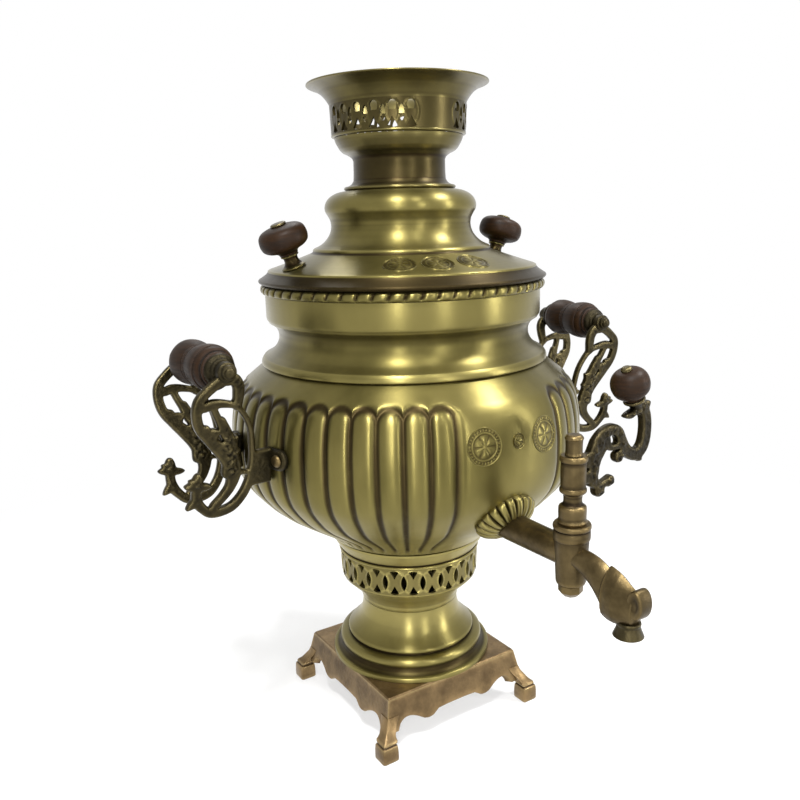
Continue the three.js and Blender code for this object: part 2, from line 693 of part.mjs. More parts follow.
function lidKnobScrew() {
  const foot = -coneWall - knobNutHeight;
  const head = knobFoot + lidKnobHeight + seat;
  return turned([
    [0, foot], [knobScrewRadius, foot], [knobScrewRadius, head], [knobScrewHead, head],
    [knobScrewHead * 0.8, head + knobHeadHeight], [0, head + knobHeadHeight],
  ], fastenerSteps);
}

const ringNut = (radius, bore, low, height) => turned(
  [[bore, low], [radius, low], [radius, low + height], [bore, low + height]], nutSides,
);
const lidKnobNut = () => ringNut(knobNutRadius, knobScrewRadius + seat, -coneWall - knobNutHeight, knobNutHeight);

// Crown
function crownSocket() {
  const neckTop = [crownNeck, crownNeckTop];
  const sleeve = tubeTopRadius + slideGap;
  const bowl = stations(crownBowlShares, neckTop, [crownBowlRadius, crownBowlTop]);
  return turned([
    ...stations(crownFlangeShares, [crownNeck, crownFoot], [crownFlange, crownFoot + crownFlangeHeight]),
    neckTop, ...bowl, [crownBowlRadius - crownWall, crownBowlTop],
    [bowl[1][0] - 2 * crownWall, bowl[1][1] + crownWall], [sleeve, crownNeckTop + crownWall], [sleeve, crownFoot],
  ], footSteps);
}

function crownCuts() {
  const pitch = 360 / crownCells;
  const perPanel = crownCells / crownPanels;
  const cuts = [];
  const level = (rise) => crownGalleryFoot + rise;
  for (let i = 0; i < crownCells; i += 1) {
    const place = i % perPanel;
    const turn = (i + (crownPlainCells + 1) / 2) * pitch;
    const between = turn + pitch / 2;
    if (place >= perPanel - crownPlainCells) continue;
    cuts.push([wedge(crownTriangleWidth, level(crownRowFoot), crownTriangleHeight), turn]);
    cuts.push([archCell(crownArchWidth, level(crownArchRise), crownArchHeight), turn]);
    if (place === perPanel - crownPlainCells - 1) continue;
    cuts.push([archCell(crownDropWidth, level(crownDropRise), crownDropHeight), between]);
  }
  return joined(cuts.map(([points, turn]) => piercing(points, crownGalleryRadius, turn)));
}

function crownGallery() {
  const wallTop = [crownGalleryRadius, crownWallTop];
  const rim = [crownRim, crownWallTop + crownFlareHeight];
  const flare = stations(crownFlareShares, wallTop, rim);
  const body = turned([
    [crownBowlRadius, crownGalleryFoot], [crownGalleryRadius, crownGalleryFoot + 2 * crownWall], wallTop, ...flare,
    [rim[0] - crownWall, rim[1]], ...[1, 0].map((i) => [flare[i][0] - crownWall, flare[i][1] + crownWall / 2]),
    [wallTop[0] - crownWall, wallTop[1]],
    [crownGalleryRadius - crownWall, crownGalleryFoot + 2 * crownWall], [crownBowlRadius - crownWall, crownGalleryFoot],
  ], crownCells);
  return spun(body, -90 / crownCells).subtract(crownCuts());
}

// Tap, drawn about its barrel's axis with its front along -Y
const pipeWall = wallRadius(pipeLevel);
const wallRise = wallRadius(pipeLevel + seat) - wallRadius(pipeLevel - seat);
const rosetteTilt = radToDeg(Math.atan2(wallRise, 2 * seat));
const sideways = (body) => body.rotate([0, 0, -90]);
const spoutPlace = ([u, v]) => [u * spoutReach, pipeLevel + spoutTopRise + (v - 1) * spoutFall];

function tapBody() {
  const barrelHeight = barrelTop - barrelFoot;
  const barrel = turned([
    [0, barrelFoot], ...barrelShares.map(([r, z]) => [r * barrelRadius, barrelFoot + z * barrelHeight]), [0, barrelTop],
  ], knobSteps);
  const root = barrelOut - pipeWall + pipeInside;
  const pipe = moved(alongFront(rod(pipeRadius, -root, 0)), 0, 0, pipeLevel);
  const curl = spoutPlace(curlShare);
  const horn = sideways(joined([
    plate(spoutShares.map(spoutPlace), spoutWidth, spoutBevel), disc(curl[0], curl[1], curlRadius, spoutWidth, curlSteps),
  ]));
  return joined([barrel, pipe, horn]).subtract(joined([
    turned(plugProfile(turnGap, overrun), knobSteps),
    moved(alongFront(rod(pipeBore, -root - overrun, 0)), 0, 0, pipeLevel),
    ...spoutBores(),
  ]));
}

// The way from the barrel down through the nose, as two straight bores that meet
function spoutBores() {
  const [out, level] = spoutPlace(mouthShare);
  const length = Math.hypot(out, level - pipeLevel);
  const drop = radToDeg(Math.atan2(pipeLevel - level, out));
  const slope = moved(rod(plugPort, 0, length).rotate([90 + drop, 0, 0]), 0, 0, pipeLevel);
  const nose = spoutPlace([0, 0])[1];
  return [slope, moved(rod(plugPort, nose - overrun, level), 0, -out, 0)];
}

function spoutNozzle() {
  const [out] = spoutPlace(mouthShare);
  const top = spoutPlace([0, 0])[1] - seat;
  const foot = top - nozzleHeight;
  return moved(turned([
    [plugPort, top], [nozzleTopRadius, top], [nozzleTopRadius, mix(top, foot, 0.3)], [nozzleFootRadius, foot],
    [nozzleFootRadius - nozzleWall, foot], [plugPort, mix(top, foot, 0.4)],
  ], nozzleSteps), 0, -out, 0);
}

function tapRosette() {
  const profile = rosetteShares.map(([r, z]) => [r * rosetteRadius, z * rosetteRise]);
  const geometry = lathe(profile, rosetteRibs * 2);
  const place = geometry.attributes.position;
  for (let i = 0; i < place.count; i += 1) {
    const ribbed = Math.floor(i / profile.length) % 2 === 1 && profile[i % profile.length][0] > rosetteRadius / 2;
    const share = ribbed ? 1 - rosetteRibDepth / rosetteRadius : 1;
    const drop = ribbed && place.getZ(i) > 0 ? rosetteRibDepth : 0;
    place.setXYZ(i, place.getX(i) * share, place.getY(i) * share, place.getZ(i) - drop);
  }
  const leaned = solid(geometry).rotate([90 + rosetteTilt, 0, 0]);
  const pipe = alongFront(rod(pipeRadius + seat, -barrelOut, barrelOut));
  const placed = moved(leaned, 0, rosetteSink - pipeWall, pipeLevel).subtract(moved(pipe, 0, 0, pipeLevel));
  return placed.subtract(vesselEnvelope(seat));
}

// The plug tapers down through the barrel; a bore for it is the same shape grown by a gap
function plugProfile(gap, past) {
  return [
    [0, barrelFoot - past], [plugFootRadius + gap, barrelFoot - past], [plugFootRadius + gap, barrelFoot],
    [plugTopRadius + gap, barrelTop], [plugTopRadius + gap, barrelTop + past], [0, barrelTop + past],
  ];
}

const studFoot = barrelFoot - seat - keyNutHeight / 2;

function tapKey() {
  const collarLevel = barrelTop + seat;
  const shank = [
    [0, barrelFoot], [plugFootRadius, barrelFoot], [plugTopRadius, collarLevel], [keyCollarRadius, collarLevel],
    [keyCollarRadius, collarLevel + keyCollarHeight], [keyNeckRadius, collarLevel + keyCollarHeight],
    [keyNeckRadius, keyNeckTop], [keyShank, keyNeckTop], [keyShank, hubTop + keyCapHeight / 2],
    [0, hubTop + keyCapHeight / 2],
  ];
  const port = moved(alongX(rod(plugPort, -barrelRadius, barrelRadius)), 0, 0, pipeLevel);
  const stud = rod(keyStud, studFoot, barrelFoot + overrun, fastenerSteps);
  return turned(shank, knobSteps).subtract(port).add(stud);
}

const keyNut = () => turned([
  [0, barrelFoot - seat - keyNutHeight], [keyNutRadius * 0.6, barrelFoot - seat - keyNutHeight],
  [keyNutRadius, barrelFoot - seat - keyNutHeight * 0.6], [keyNutRadius, barrelFoot - seat],
  [keyStud + seat, barrelFoot - seat], [keyStud + seat, studFoot - seat], [0, studFoot - seat],
], 8);

const keyCap = () => turned([
  [keyShank + seat, hubTop + seat], [keyCapRadius, hubTop + seat], [keyCapRadius, hubTop + keyCapHeight * 0.84],
  [keyCapRadius * 0.7, hubTop + keyCapHeight * 0.97], [0, hubTop + keyCapHeight],
  [0, hubTop + keyCapHeight / 2 + seat], [keyShank + seat, hubTop + keyCapHeight / 2 + seat],
], knobSteps);

const leverPlace = ([u, v]) => [u * leverReach, hubFoot - leverDrop + v * leverRise];

// The knob's axis leans back toward the hub; its pieces are drawn upright about it
function onPost(body) {
  const [x, z] = leverPlace(leverKnobShare);
  return moved(body.rotate([0, -leverKnobTilt, 0]), x, 0, z);
}

function keyLever() {
  const half = leverThickness / 2;
  const hub = rod(keyHubRadius, hubFoot, hubTop);
  const bore = rod(keyShank + seat, hubFoot - overrun, hubTop + overrun, knobSteps);
  const post = onPost(rod(leverPostRadius, -2 * leverPostRadius, -seat, fastenerSteps));
  const lobes = leverLobeShares.map(([u, v, size]) => {
    const [x, z] = leverPlace([u, v]);
    return disc(x, z, size * leverHalf, leverThickness);
  });
  const scroll = plate(band(leverShares.map(leverPlace), leverWidthShares, leverHalf), leverThickness);
  const root = plate(band(leverRootShares.map(leverPlace), leverRootWidthShares, leverHalf), leverThickness);
  const pinHole = onPost(rod(knobPinRadius + seat, -knobPinDepth - seat, half, fastenerSteps));
  return joined([hub, post, scroll, root, ...lobes]).subtract(bore).subtract(pinHole);
}

const keyKnob = () => turned(ball(leverKnobRadius, leverKnobHeight, 0, knobPinRadius + seat), knobSteps);

const knobPin = () => turned([
  [0, -knobPinDepth], [knobPinRadius, -knobPinDepth], [knobPinRadius, leverKnobHeight + seat],
  [knobPinHead, leverKnobHeight + seat], [knobPinHead * 0.7, leverKnobHeight + knobPinHead / 2],
  [0, leverKnobHeight + knobPinHead * 0.7],
], fastenerSteps);

// Handles, drawn with X out from the vessel, before the turn toward the tap
const bracketPlace = ([u, v]) => [bracketInner + u * bracketReach, bracketFoot + v * bracketRise];
const boltSpread = bracketSpread + Math.tan(degToRad(bracketLean)) * (boltLevel - bracketPivot);
const gripEnd = boltSpread - bossWidth / 2 - seat;

// Leans a bracket drawn upright on the middle plane out to its own side
function toSide(body, side) {
  const about = moved(body, 0, 0, -bracketPivot).rotate([-side * bracketLean, 0, 0]);
  return moved(about, 0, side * bracketSpread, bracketPivot);
}

function openwork() {
  const cut = (shares, widths) => plate(band(shares.map(bracketPlace), widths, bandHalf), bracketThickness);
  return joined([
    cut(scrollShares, scrollWidthShares), cut(outerShares, outerWidthShares), cut(hornShares, hornWidthShares),
    cut(leafShares, leafWidthShares), cut(spurShares, spurWidthShares),
    plate(trefoilLeafShares.map(bracketPlace), bracketThickness),
  ]);
}

// A tongue against the vessel's wall beside the bracket, for one screw
function tongue(side) {
  const angle = side * tongueTurn;
  const pad = spun(moved(alongX(rod(tongueRadius, 0, 2 * bulbRadius)), 0, 0, tongueLevel), angle);
  const low = tongueLevel - tongueRadius;
  const reach = bulbRadius * Math.sin(degToRad(tongueTurn));
  const strap = plate([
    [bulbRadius / 2, low], [bulbRadius * 2, low], [bulbRadius * 2, low + 2 * tongueRadius],
    [bulbRadius / 2, low + 2 * tongueRadius],
  ], reach - bracketSpread + 2 * bracketThickness);
  const across = moved(strap, 0, (side * (reach + bracketSpread)) / 2 - side * bracketThickness, 0);
  return across.add(pad).intersect(vesselEnvelope(seat + tongueThickness));
}

function bracket(side) {
  const lugFoot = bracketFoot + lugFootRise;
  const lug = plate([
    [bulbRadius - 2 * bracketThickness, lugFoot], [bracketInner + bandHalf, lugFoot],
    [bracketInner + bandHalf, lugFoot + lugHeight], [bulbRadius - 2 * bracketThickness, lugFoot + lugHeight],
  ], bracketThickness);
  const boss = moved(
    alongFront(rod(bossRadius, -bossWidth / 2, bossWidth / 2)), boltOut, side * boltSpread, boltLevel,
  );
  const across = alongFront(rod(gripBoltRadius + seat, -2 * boltSpread, 2 * boltSpread, fastenerSteps));
  const spotFace = tongueThickness + seat;
  const screwHole = fixing(side, rod(fixScrewRadius + seat, -overrun, spotFace + overrun, fastenerSteps)
    .add(rod(fixHeadRadius + slideGap, spotFace, spotFace + 2 * overrun, fastenerSteps)));
  const cupRoom = onBolt(rod(cupRadius + slideGap, -gripEnd - seat, gripEnd + seat));
  return joined([toSide(openwork().add(lug), side).subtract(cupRoom), boss, tongue(side)])
    .subtract(vesselEnvelope(seat))
    .subtract(moved(across, boltOut, 0, boltLevel))
    .subtract(screwHole);
}

// A fastener drawn along Z from the vessel's wall outward, put at a bracket's tongue
const fixing = (side, body) => spun(moved(alongX(body), wallRadius(tongueLevel), 0, tongueLevel), side * tongueTurn);
const fixHoles = () => Object.values(handleTurns).flatMap((turn) => [-1, 1].map((side) => spun(
  fixing(side, rod(fixScrewRadius + seat, -4 * bulbWall, 4 * bulbWall, fastenerSteps)), turn,
)));

// How far in from the wall's outside a nut sits, clear of the flattest facet inside
const nutWall = Math.min(...[-fixNutRadius, fixNutRadius].map((step) => wallRadius(tongueLevel + step, bulbInside())));
const innerFace = wallRadius(tongueLevel) - nutWall * Math.cos(Math.PI / turnSteps) + seat;

const fixScrew = () => {
  const head = 2 * seat + tongueThickness;
  return turned([
    [0, -innerFace - fixNutHeight], [fixScrewRadius, -innerFace - fixNutHeight], [fixScrewRadius, head],
    [fixHeadRadius, head], [fixHeadRadius * 0.6, head + fixHeadHeight], [0, head + fixHeadHeight],
  ], fastenerSteps);
};

const fixNut = () => ringNut(fixNutRadius, fixScrewRadius + seat, -innerFace - fixNutHeight, fixNutHeight);

// Everything on the grip bolt is drawn along Z from the grip's middle
const onBolt = (body) => moved(alongFront(body), boltOut, 0, boltLevel);

function grip() {
  const half = gripEnd - cupLength - seat;
  const lobe = gripLobeShares.map(([r, z]) => [r * gripRadius, z * half]);
  const other = lobe.slice(0, -1).map(([r, z]) => [r, -z]).reverse();
  const bore = gripBoltRadius + seat;
  return onBolt(turned([[bore, half], ...lobe, ...other, [bore, -half]], knobSteps));
}

function gripCup(end) {
  const outer = gripEnd;
  const inner = gripEnd - cupLength;
  const bore = gripBoltRadius + seat;
  const profile = [[bore, outer], [bossRadius, outer], [cupRadius, mix(outer, inner, 0.5)], [cupRadius, inner], [bore, inner]];
  return onBolt(turned(profile.map(([r, z]) => [r, end * z]), knobSteps));
}

const boltFace = boltSpread + bossWidth / 2 + seat;

const gripBolt = () => onBolt(turned([
  [0, -boltFace - gripHeadHeight], [gripHeadRadius * 0.7, -boltFace - gripHeadHeight * 0.8],
  [gripHeadRadius, -boltFace - gripHeadHeight * 0.3], [gripHeadRadius, -boltFace], [gripBoltRadius, -boltFace],
  [gripBoltRadius, boltFace + gripHeadHeight / 2], [0, boltFace + gripHeadHeight / 2],
], fastenerSteps));

const gripNut = () => onBolt(turned([
  [gripBoltRadius + seat, boltFace], [gripHeadRadius, boltFace], [gripHeadRadius, boltFace + gripHeadHeight * 0.4],
  [gripHeadRadius * 0.7, boltFace + gripHeadHeight * 0.9], [0, boltFace + gripHeadHeight * 1.1],
  [0, boltFace + gripHeadHeight / 2 + seat], [gripBoltRadius + seat, boltFace + gripHeadHeight / 2 + seat],
], 8));

// The object, put together
function handle(hand) {
  const group = new THREE.Group();
  const front = hand === 'right' ? -1 : 1;
  for (const [place, side] of [['front', front], ['back', -front]]) {
    group.add(
      piece(`${hand}_bracket_${place}`, bracket(side), 'darkBronze'),
      piece(`${hand}_cup_${place}`, gripCup(-side), 'darkBronze'),
      piece(`${hand}_handle_screw_${place}`, fixing(side, fixScrew()), 'brass'),
      piece(`${hand}_handle_nut_${place}`, fixing(side, fixNut()), 'brass'),
    );
  }
  group.add(
    piece(`${hand}_grip`, grip(), 'wood'),
    piece(`${hand}_grip_bolt`, gripBolt(), 'bronze'),
    piece(`${hand}_grip_nut`, gripNut(), 'bronze'),
  );
  group.rotation.z = degToRad(handleTurns[hand]);
  return group;
}

function lidKnobs(hand) {
  const cone = new THREE.Group();
  cone.add(
    piece(`lid_knob_${hand}`, lidKnob(), 'wood'),
    piece(`lid_ferrule_${hand}`, lidFerrule(), 'brass'),
    piece(`lid_screw_${hand}`, lidKnobScrew(), 'brass'),
    piece(`lid_nut_${hand}`, lidKnobNut(), 'brass'),
  );
  cone.position.set(lidKnobRing, 0, coneLevel);
  cone.rotation.y = degToRad(coneTilt);
  const group = new THREE.Group();
  group.add(cone);
  group.rotation.z = hand === 'right' ? 0 : Math.PI;
  return group;
}

function tap() {
  const knob = new THREE.Group();
  const [x, z] = leverPlace(leverKnobShare);
  knob.add(piece('key_knob', keyKnob(), 'wood'), piece('knob_pin', knobPin(), 'brass'));
  knob.position.set(x, 0, z);
  knob.rotation.y = -degToRad(leverKnobTilt);
  const group = new THREE.Group();
  group.add(
    piece('tap_body', tapBody(), 'bronze'),
    piece('spout_nozzle', spoutNozzle(), 'darkBronze'),
    piece('tap_key', tapKey(), 'bronze'),
    piece('key_lever', keyLever(), 'darkBronze'),
    piece('key_cap', keyCap(), 'bronze'),
    piece('key_nut', keyNut(), 'bronze'),
    knob,
  );
  group.position.y = -barrelOut;
  return group;
}

const samovar = new THREE.Group();
samovar.name = 'samovar';
samovar.add(
  piece('base_stand', stand(), 'bronze'),
  piece('pedestal', pedestal(), 'brass'),
  piece('vent_gallery', ventGallery(), 'brass'),
  piece('bulb', bulb(), 'brass'),
  piece('body_collar', collar(), 'brass'),
  piece('rope_rim', rope(), 'brass'),
  piece('fire_tube', fireTube(), 'brass'),
  piece('grate', grate(), 'iron'),
  piece('tap_rosette', tapRosette(), 'brass'),
  piece('lid_shell', lid(), 'brass'),
  piece('crown_socket', crownSocket(), 'brass'),
  piece('crown_gallery', crownGallery(), 'brass'),
  lidKnobs('right'),
  lidKnobs('left'),
  handle('right'),
  handle('left'),
  tap(),
);

// The origin is under the middle of the whole, on the floor
samovar.updateMatrixWorld(true);
const middle = new THREE.Box3().setFromObject(samovar, true).getCenter(new THREE.Vector3());
samovar.position.set(-middle.x, -middle.y, 0);

export default samovar;
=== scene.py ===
import bmesh
import bpy
import math
import numpy as np
from mathutils import Matrix, Vector, noise
from mathutils.geometry import delaunay_2d_cdt


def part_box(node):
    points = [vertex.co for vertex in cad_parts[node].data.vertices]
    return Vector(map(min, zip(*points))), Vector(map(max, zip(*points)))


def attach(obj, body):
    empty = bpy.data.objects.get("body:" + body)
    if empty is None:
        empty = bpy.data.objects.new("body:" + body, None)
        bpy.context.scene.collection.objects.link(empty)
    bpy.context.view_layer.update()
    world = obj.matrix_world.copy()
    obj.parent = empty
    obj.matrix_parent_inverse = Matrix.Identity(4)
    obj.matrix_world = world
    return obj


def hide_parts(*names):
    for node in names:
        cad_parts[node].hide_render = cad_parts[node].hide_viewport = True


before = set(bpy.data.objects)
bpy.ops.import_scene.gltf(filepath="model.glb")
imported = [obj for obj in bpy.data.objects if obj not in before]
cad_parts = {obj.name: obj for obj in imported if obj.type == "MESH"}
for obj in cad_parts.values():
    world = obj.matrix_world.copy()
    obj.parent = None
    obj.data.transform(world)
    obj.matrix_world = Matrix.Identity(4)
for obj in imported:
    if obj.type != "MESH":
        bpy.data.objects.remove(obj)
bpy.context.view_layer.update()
print("frame loaded")

# Shapes are drawn in millimetres about the urn's own axis, with the tap toward -Y
ringLow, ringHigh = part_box("rope_rim")
axisX, axisY = (ringLow.x + ringHigh.x) / 2, (ringLow.y + ringHigh.y) / 2
urnAxis = Matrix.Translation((axisX, axisY, 0)) @ Matrix.Scale(0.001, 4)


# ---- camera, room and light

cameraFacts = {
    "azimuth": 32.963, "pitch": 13.13, "roll": -1.513, "yaw": -0.380,
    "distance": 587.0, "height": 380.54, "focalPixels": 792.16, "framePixels": 800,
}


def addCamera(facts):
    pitch, yaw, roll, azimuth = (math.radians(facts[k]) for k in ("pitch", "yaw", "roll", "azimuth"))
    forward = Vector((math.sin(yaw) * math.cos(pitch), math.cos(yaw) * math.cos(pitch), -math.sin(pitch)))
    flat = Vector((math.cos(yaw), -math.sin(yaw), 0))
    upright = flat.cross(forward)
    right = flat * math.cos(roll) + upright * math.sin(roll)
    up = upright * math.cos(roll) - flat * math.sin(roll)
    turn = Matrix.Rotation(-azimuth, 4, "Z")
    data = bpy.data.cameras.new("camera")
    data.sensor_width = 36
    data.lens = facts["focalPixels"] / facts["framePixels"] * data.sensor_width
    data.clip_start = 0.02
    camera = bpy.data.objects.new("camera", data)
    bpy.context.scene.collection.objects.link(camera)
    eye = urnAxis @ (turn @ Vector((0, -facts["distance"], facts["height"])))
    basis = Matrix((turn @ right, turn @ up, turn @ -forward)).transposed().to_4x4()
    camera.matrix_world = Matrix.Translation(eye) @ basis
    bpy.context.scene.camera = camera


addCamera(cameraFacts)


class Signal:
    # one output of a node, which sums and products take directly
    def __init__(self, finish, socket):
        self.finish = finish
        self.socket = socket

    def maths(self, operation, first, second=0.0, limit=False):
        settings = {"operation": operation, "use_clamp": limit}
        return self.finish.node("ShaderNodeMath", settings, {0: first, 1: second})

    def __add__(self, other):
        return self.maths("ADD", self, other)

    def __radd__(self, other):
        return self.maths("ADD", other, self)

    def __sub__(self, other):
        return self.maths("SUBTRACT", self, other)

    def __rsub__(self, other):
        return self.maths("SUBTRACT", other, self)

    def __mul__(self, other):
        return self.maths("MULTIPLY", self, other)

    def limited(self):
        return self.maths("ADD", self, 0.0, True)

    def root(self):
        return self.maths("SQRT", self)


class Finish:
    def __init__(self, name, slot):
        self.material = bpy.data.materials.new(name)
        self.material.use_nodes = True
        self.tree = self.material.node_tree
        self.tree.nodes.clear()
        self.slot = slot

    def node(self, kind, settings=None, sockets=None, output=0):
        made = self.tree.nodes.new(kind)
        for key, value in (settings or {}).items():
            setattr(made, key, value)
        for key, value in (sockets or {}).items():
            if isinstance(value, Signal):
                self.tree.links.new(value.socket, made.inputs[key])
            else:
                made.inputs[key].default_value = value
        return Signal(self, made.outputs[output])

    def surface(self, sockets):
        self.show(self.node("ShaderNodeBsdfPrincipled", {}, sockets))

    def show(self, shader):
        made = self.tree.nodes.new("ShaderNodeOutputMaterial")
        self.tree.links.new(shader.socket, made.inputs["Surface"])

    def place(self):
        return self.node("ShaderNodeTexCoord", output=3)

    def noise(self, vector, scale, detail=3.0, rough=0.5):
        sockets = {"Vector": vector, "Scale": scale, "Detail": detail, "Roughness": rough}
        return self.node("ShaderNodeTexNoise", {}, sockets)

    def blend(self, factor, first, second):
        sockets = {0: factor, 6: first, 7: second}
        return self.node("ShaderNodeMix", {"data_type": "RGBA"}, sockets, output=2)

    def stretched(self, vector, scale):
        return self.node("ShaderNodeVectorMath", {"operation": "MULTIPLY"}, {0: vector, 1: scale})

    def ramp(self, factor, low, high):
        sockets = {"Value": factor, "From Min": low, "From Max": high}
        return self.node("ShaderNodeMapRange", {"clamp": True, "interpolation_type": "SMOOTHSTEP"}, sockets)

    def attribute(self, name):
        return self.node("ShaderNodeAttribute", {"attribute_name": name}, output=2)

    def bump(self, strength, distance, height):
        sockets = {"Strength": strength, "Distance": distance, "Height": height}
        return self.node("ShaderNodeBump", {}, sockets)

    def glow(self, strength):
        return self.node("ShaderNodeEmission", {}, {"Color": (1, 1, 1, 1), "Strength": strength})

    def share(self, factor, first, second):
        return self.node("ShaderNodeMixShader", {}, {0: factor, 1: first, 2: second})


def hexColour(text):
    parts = [int(text[i:i + 2], 16) / 255 for i in (0, 2, 4)]
    return tuple(p / 12.92 if p <= 0.04045 else ((p + 0.055) / 1.055) ** 2.4 for p in parts) + (1.0,)


roomLook = {"skyLight": 0.58}


def addRoom(look):
    world = bpy.data.worlds.new("studio")
    bpy.context.scene.world = world
    world.use_nodes = True
    tree = world.node_tree
    tree.nodes.clear()
    path = tree.nodes.new("ShaderNodeLightPath")
    seen = None
    for name in ("Is Camera Ray", "Is Glossy Ray", "Is Transmission Ray"):
        if seen is None:
            seen = path.outputs[name]
            continue
        total = tree.nodes.new("ShaderNodeMath")
        total.operation = "MAXIMUM"
        tree.links.new(seen, total.inputs[0])
        tree.links.new(path.outputs[name], total.inputs[1])
        seen = total.outputs[0]
    level = tree.nodes.new("ShaderNodeMapRange")
    level.inputs["To Min"].default_value = look["skyLight"]
    level.inputs["To Max"].default_value = 1.0
    tree.links.new(seen, level.inputs["Value"])
    background = tree.nodes.new("ShaderNodeBackground")
    background.inputs["Color"].default_value = (1, 1, 1, 1)
    tree.links.new(level.outputs[0], background.inputs["Strength"])
    output = tree.nodes.new("ShaderNodeOutputWorld")
    tree.links.new(background.outputs[0], output.inputs["Surface"])
    bpy.context.scene.view_settings.view_transform = "Standard"


addRoom(roomLook)

floorFacts = {"half": 3.0, "colour": "f8f8f7", "near": 0.2, "far": 0.75, "inMetal": 1.4}


def addFloor(facts):
    half = facts["half"]
    mesh = bpy.data.meshes.new("floor")
    corners = [(x * half, y * half, 0) for x, y in ((-1, -1), (1, -1), (1, 1), (-1, 1))]
    mesh.from_pydata(corners, [], [(0, 1, 2, 3)])
    floor = bpy.data.objects.new("floor", mesh)
    bpy.context.scene.collection.objects.link(floor)
    finish = Finish("pale_floor", None)
    seen = finish.node("ShaderNodeLightPath")
    glossy = Signal(finish, seen.socket.node.outputs["Is Glossy Ray"])
    spot = finish.place()
    away = finish.node("ShaderNodeVectorMath", {"operation": "LENGTH"}, {0: spot}, output=1)
    far = finish.ramp(away, facts["near"], facts["far"])
    tone = finish.blend(finish.noise(spot, 40.0), hexColour(facts["colour"]), (1, 1, 1, 1))
    matt = finish.node("ShaderNodeBsdfDiffuse", {}, {"Color": tone})
    plain = finish.share(seen * (0.6 + far * 0.4), matt, finish.glow(1.0))
    finish.show(finish.share(glossy * 0.9, plain, finish.glow(facts["inMetal"])))
    mesh.materials.append(finish.material)


addFloor(floorFacts)

# name, turn from the camera's side, rise, distance, width, height, watts
lampRows = [
    ("left_lamp", -7, 58, 1.5, 0.14, 0.20, 24.0), ("left_strip", -4, 11, 1.5, 0.06, 1.0, 9.0),
    ("middle_lamp", 32, 56, 1.5, 0.08, 0.12, 3.5), ("middle_strip", 32, 11, 1.5, 0.04, 1.0, 5.5),
    ("right_lamp", 92, 54, 1.5, 0.16, 0.22, 22.0), ("right_strip", 76, 11, 1.5, 0.06, 1.0, 10.0),
    ("back_lamp", 190, 48, 1.7, 0.6, 0.5, 7.0),
]


def addLamp(name, turn, rise, distance, width, height, watts):
    data = bpy.data.lights.new(name, "AREA")
    data.shape = "RECTANGLE"
    data.size, data.size_y = width, height
    data.energy = watts
    lamp = bpy.data.objects.new(name, data)
    bpy.context.scene.collection.objects.link(lamp)
    side = math.radians(-90 - cameraFacts["azimuth"] + turn)
    climb = math.radians(rise)
    aim = Vector((0, axisY, 0.25))
    out = Vector((math.cos(side) * math.cos(climb), math.sin(side) * math.cos(climb), math.sin(climb)))
    lamp.location = aim + out * distance
    lamp.rotation_euler = out.to_track_quat("Z", "Y").to_euler()


for lampRow in lampRows:
    addLamp(*lampRow)
print("camera, floor and lamps placed")


# ---- finishes

spunLook = {
    "bright": "6f6639", "deep": "544d27", "patinaAndShade": "2e2510", "worn": "857b48", "rough": 0.35, "lines": 0.08,
    "metal": 0.9, "brushed": 0.75, "paintedFloorLightTone": "a2965c", "paintedFloorLightShare": 0.55,
}
neckLook = {
    "bright": "5c5430", "deep": "423a20", "patinaAndShade": "281e0c", "worn": "70673e", "rough": 0.34, "lines": 0.10,
    "metal": 0.9, "brushed": 0.75, "paintedFloorLightTone": "70673e", "paintedFloorLightShare": 0.0,
}
castLook = {"bright": "806a48", "deep": "5a482e", "patinaAndShade": "2a1f13", "worn": "a08c62", "rough": 0.40,
    "lumps": 0.45, "metal": 0.82}
tapLook = {"bright": "584b31", "deep": "3b311d", "patinaAndShade": "221a0f", "worn": "6a5a3a", "rough": 0.40,
    "lumps": 0.35, "metal": 0.93}
darkLook = {"bright": "484029", "deep": "2b2617", "patinaAndShade": "16130b", "worn": "5e5538", "rough": 0.38,
    "lumps": 0.8, "metal": 0.93}
woodLook = {"bright": "24160a", "deep": "110a05", "rough": 0.46, "gloss": 0.11}
leverLook = {"bright": "38311f", "deep": "1e1a10", "patinaAndShade": "110f09", "worn": "5a5136", "rough": 0.36,
    "lumps": 0.8, "metal": 0.93}
ironLook = {"bright": "4a443c", "deep": "241f1a", "rough": 0.75}


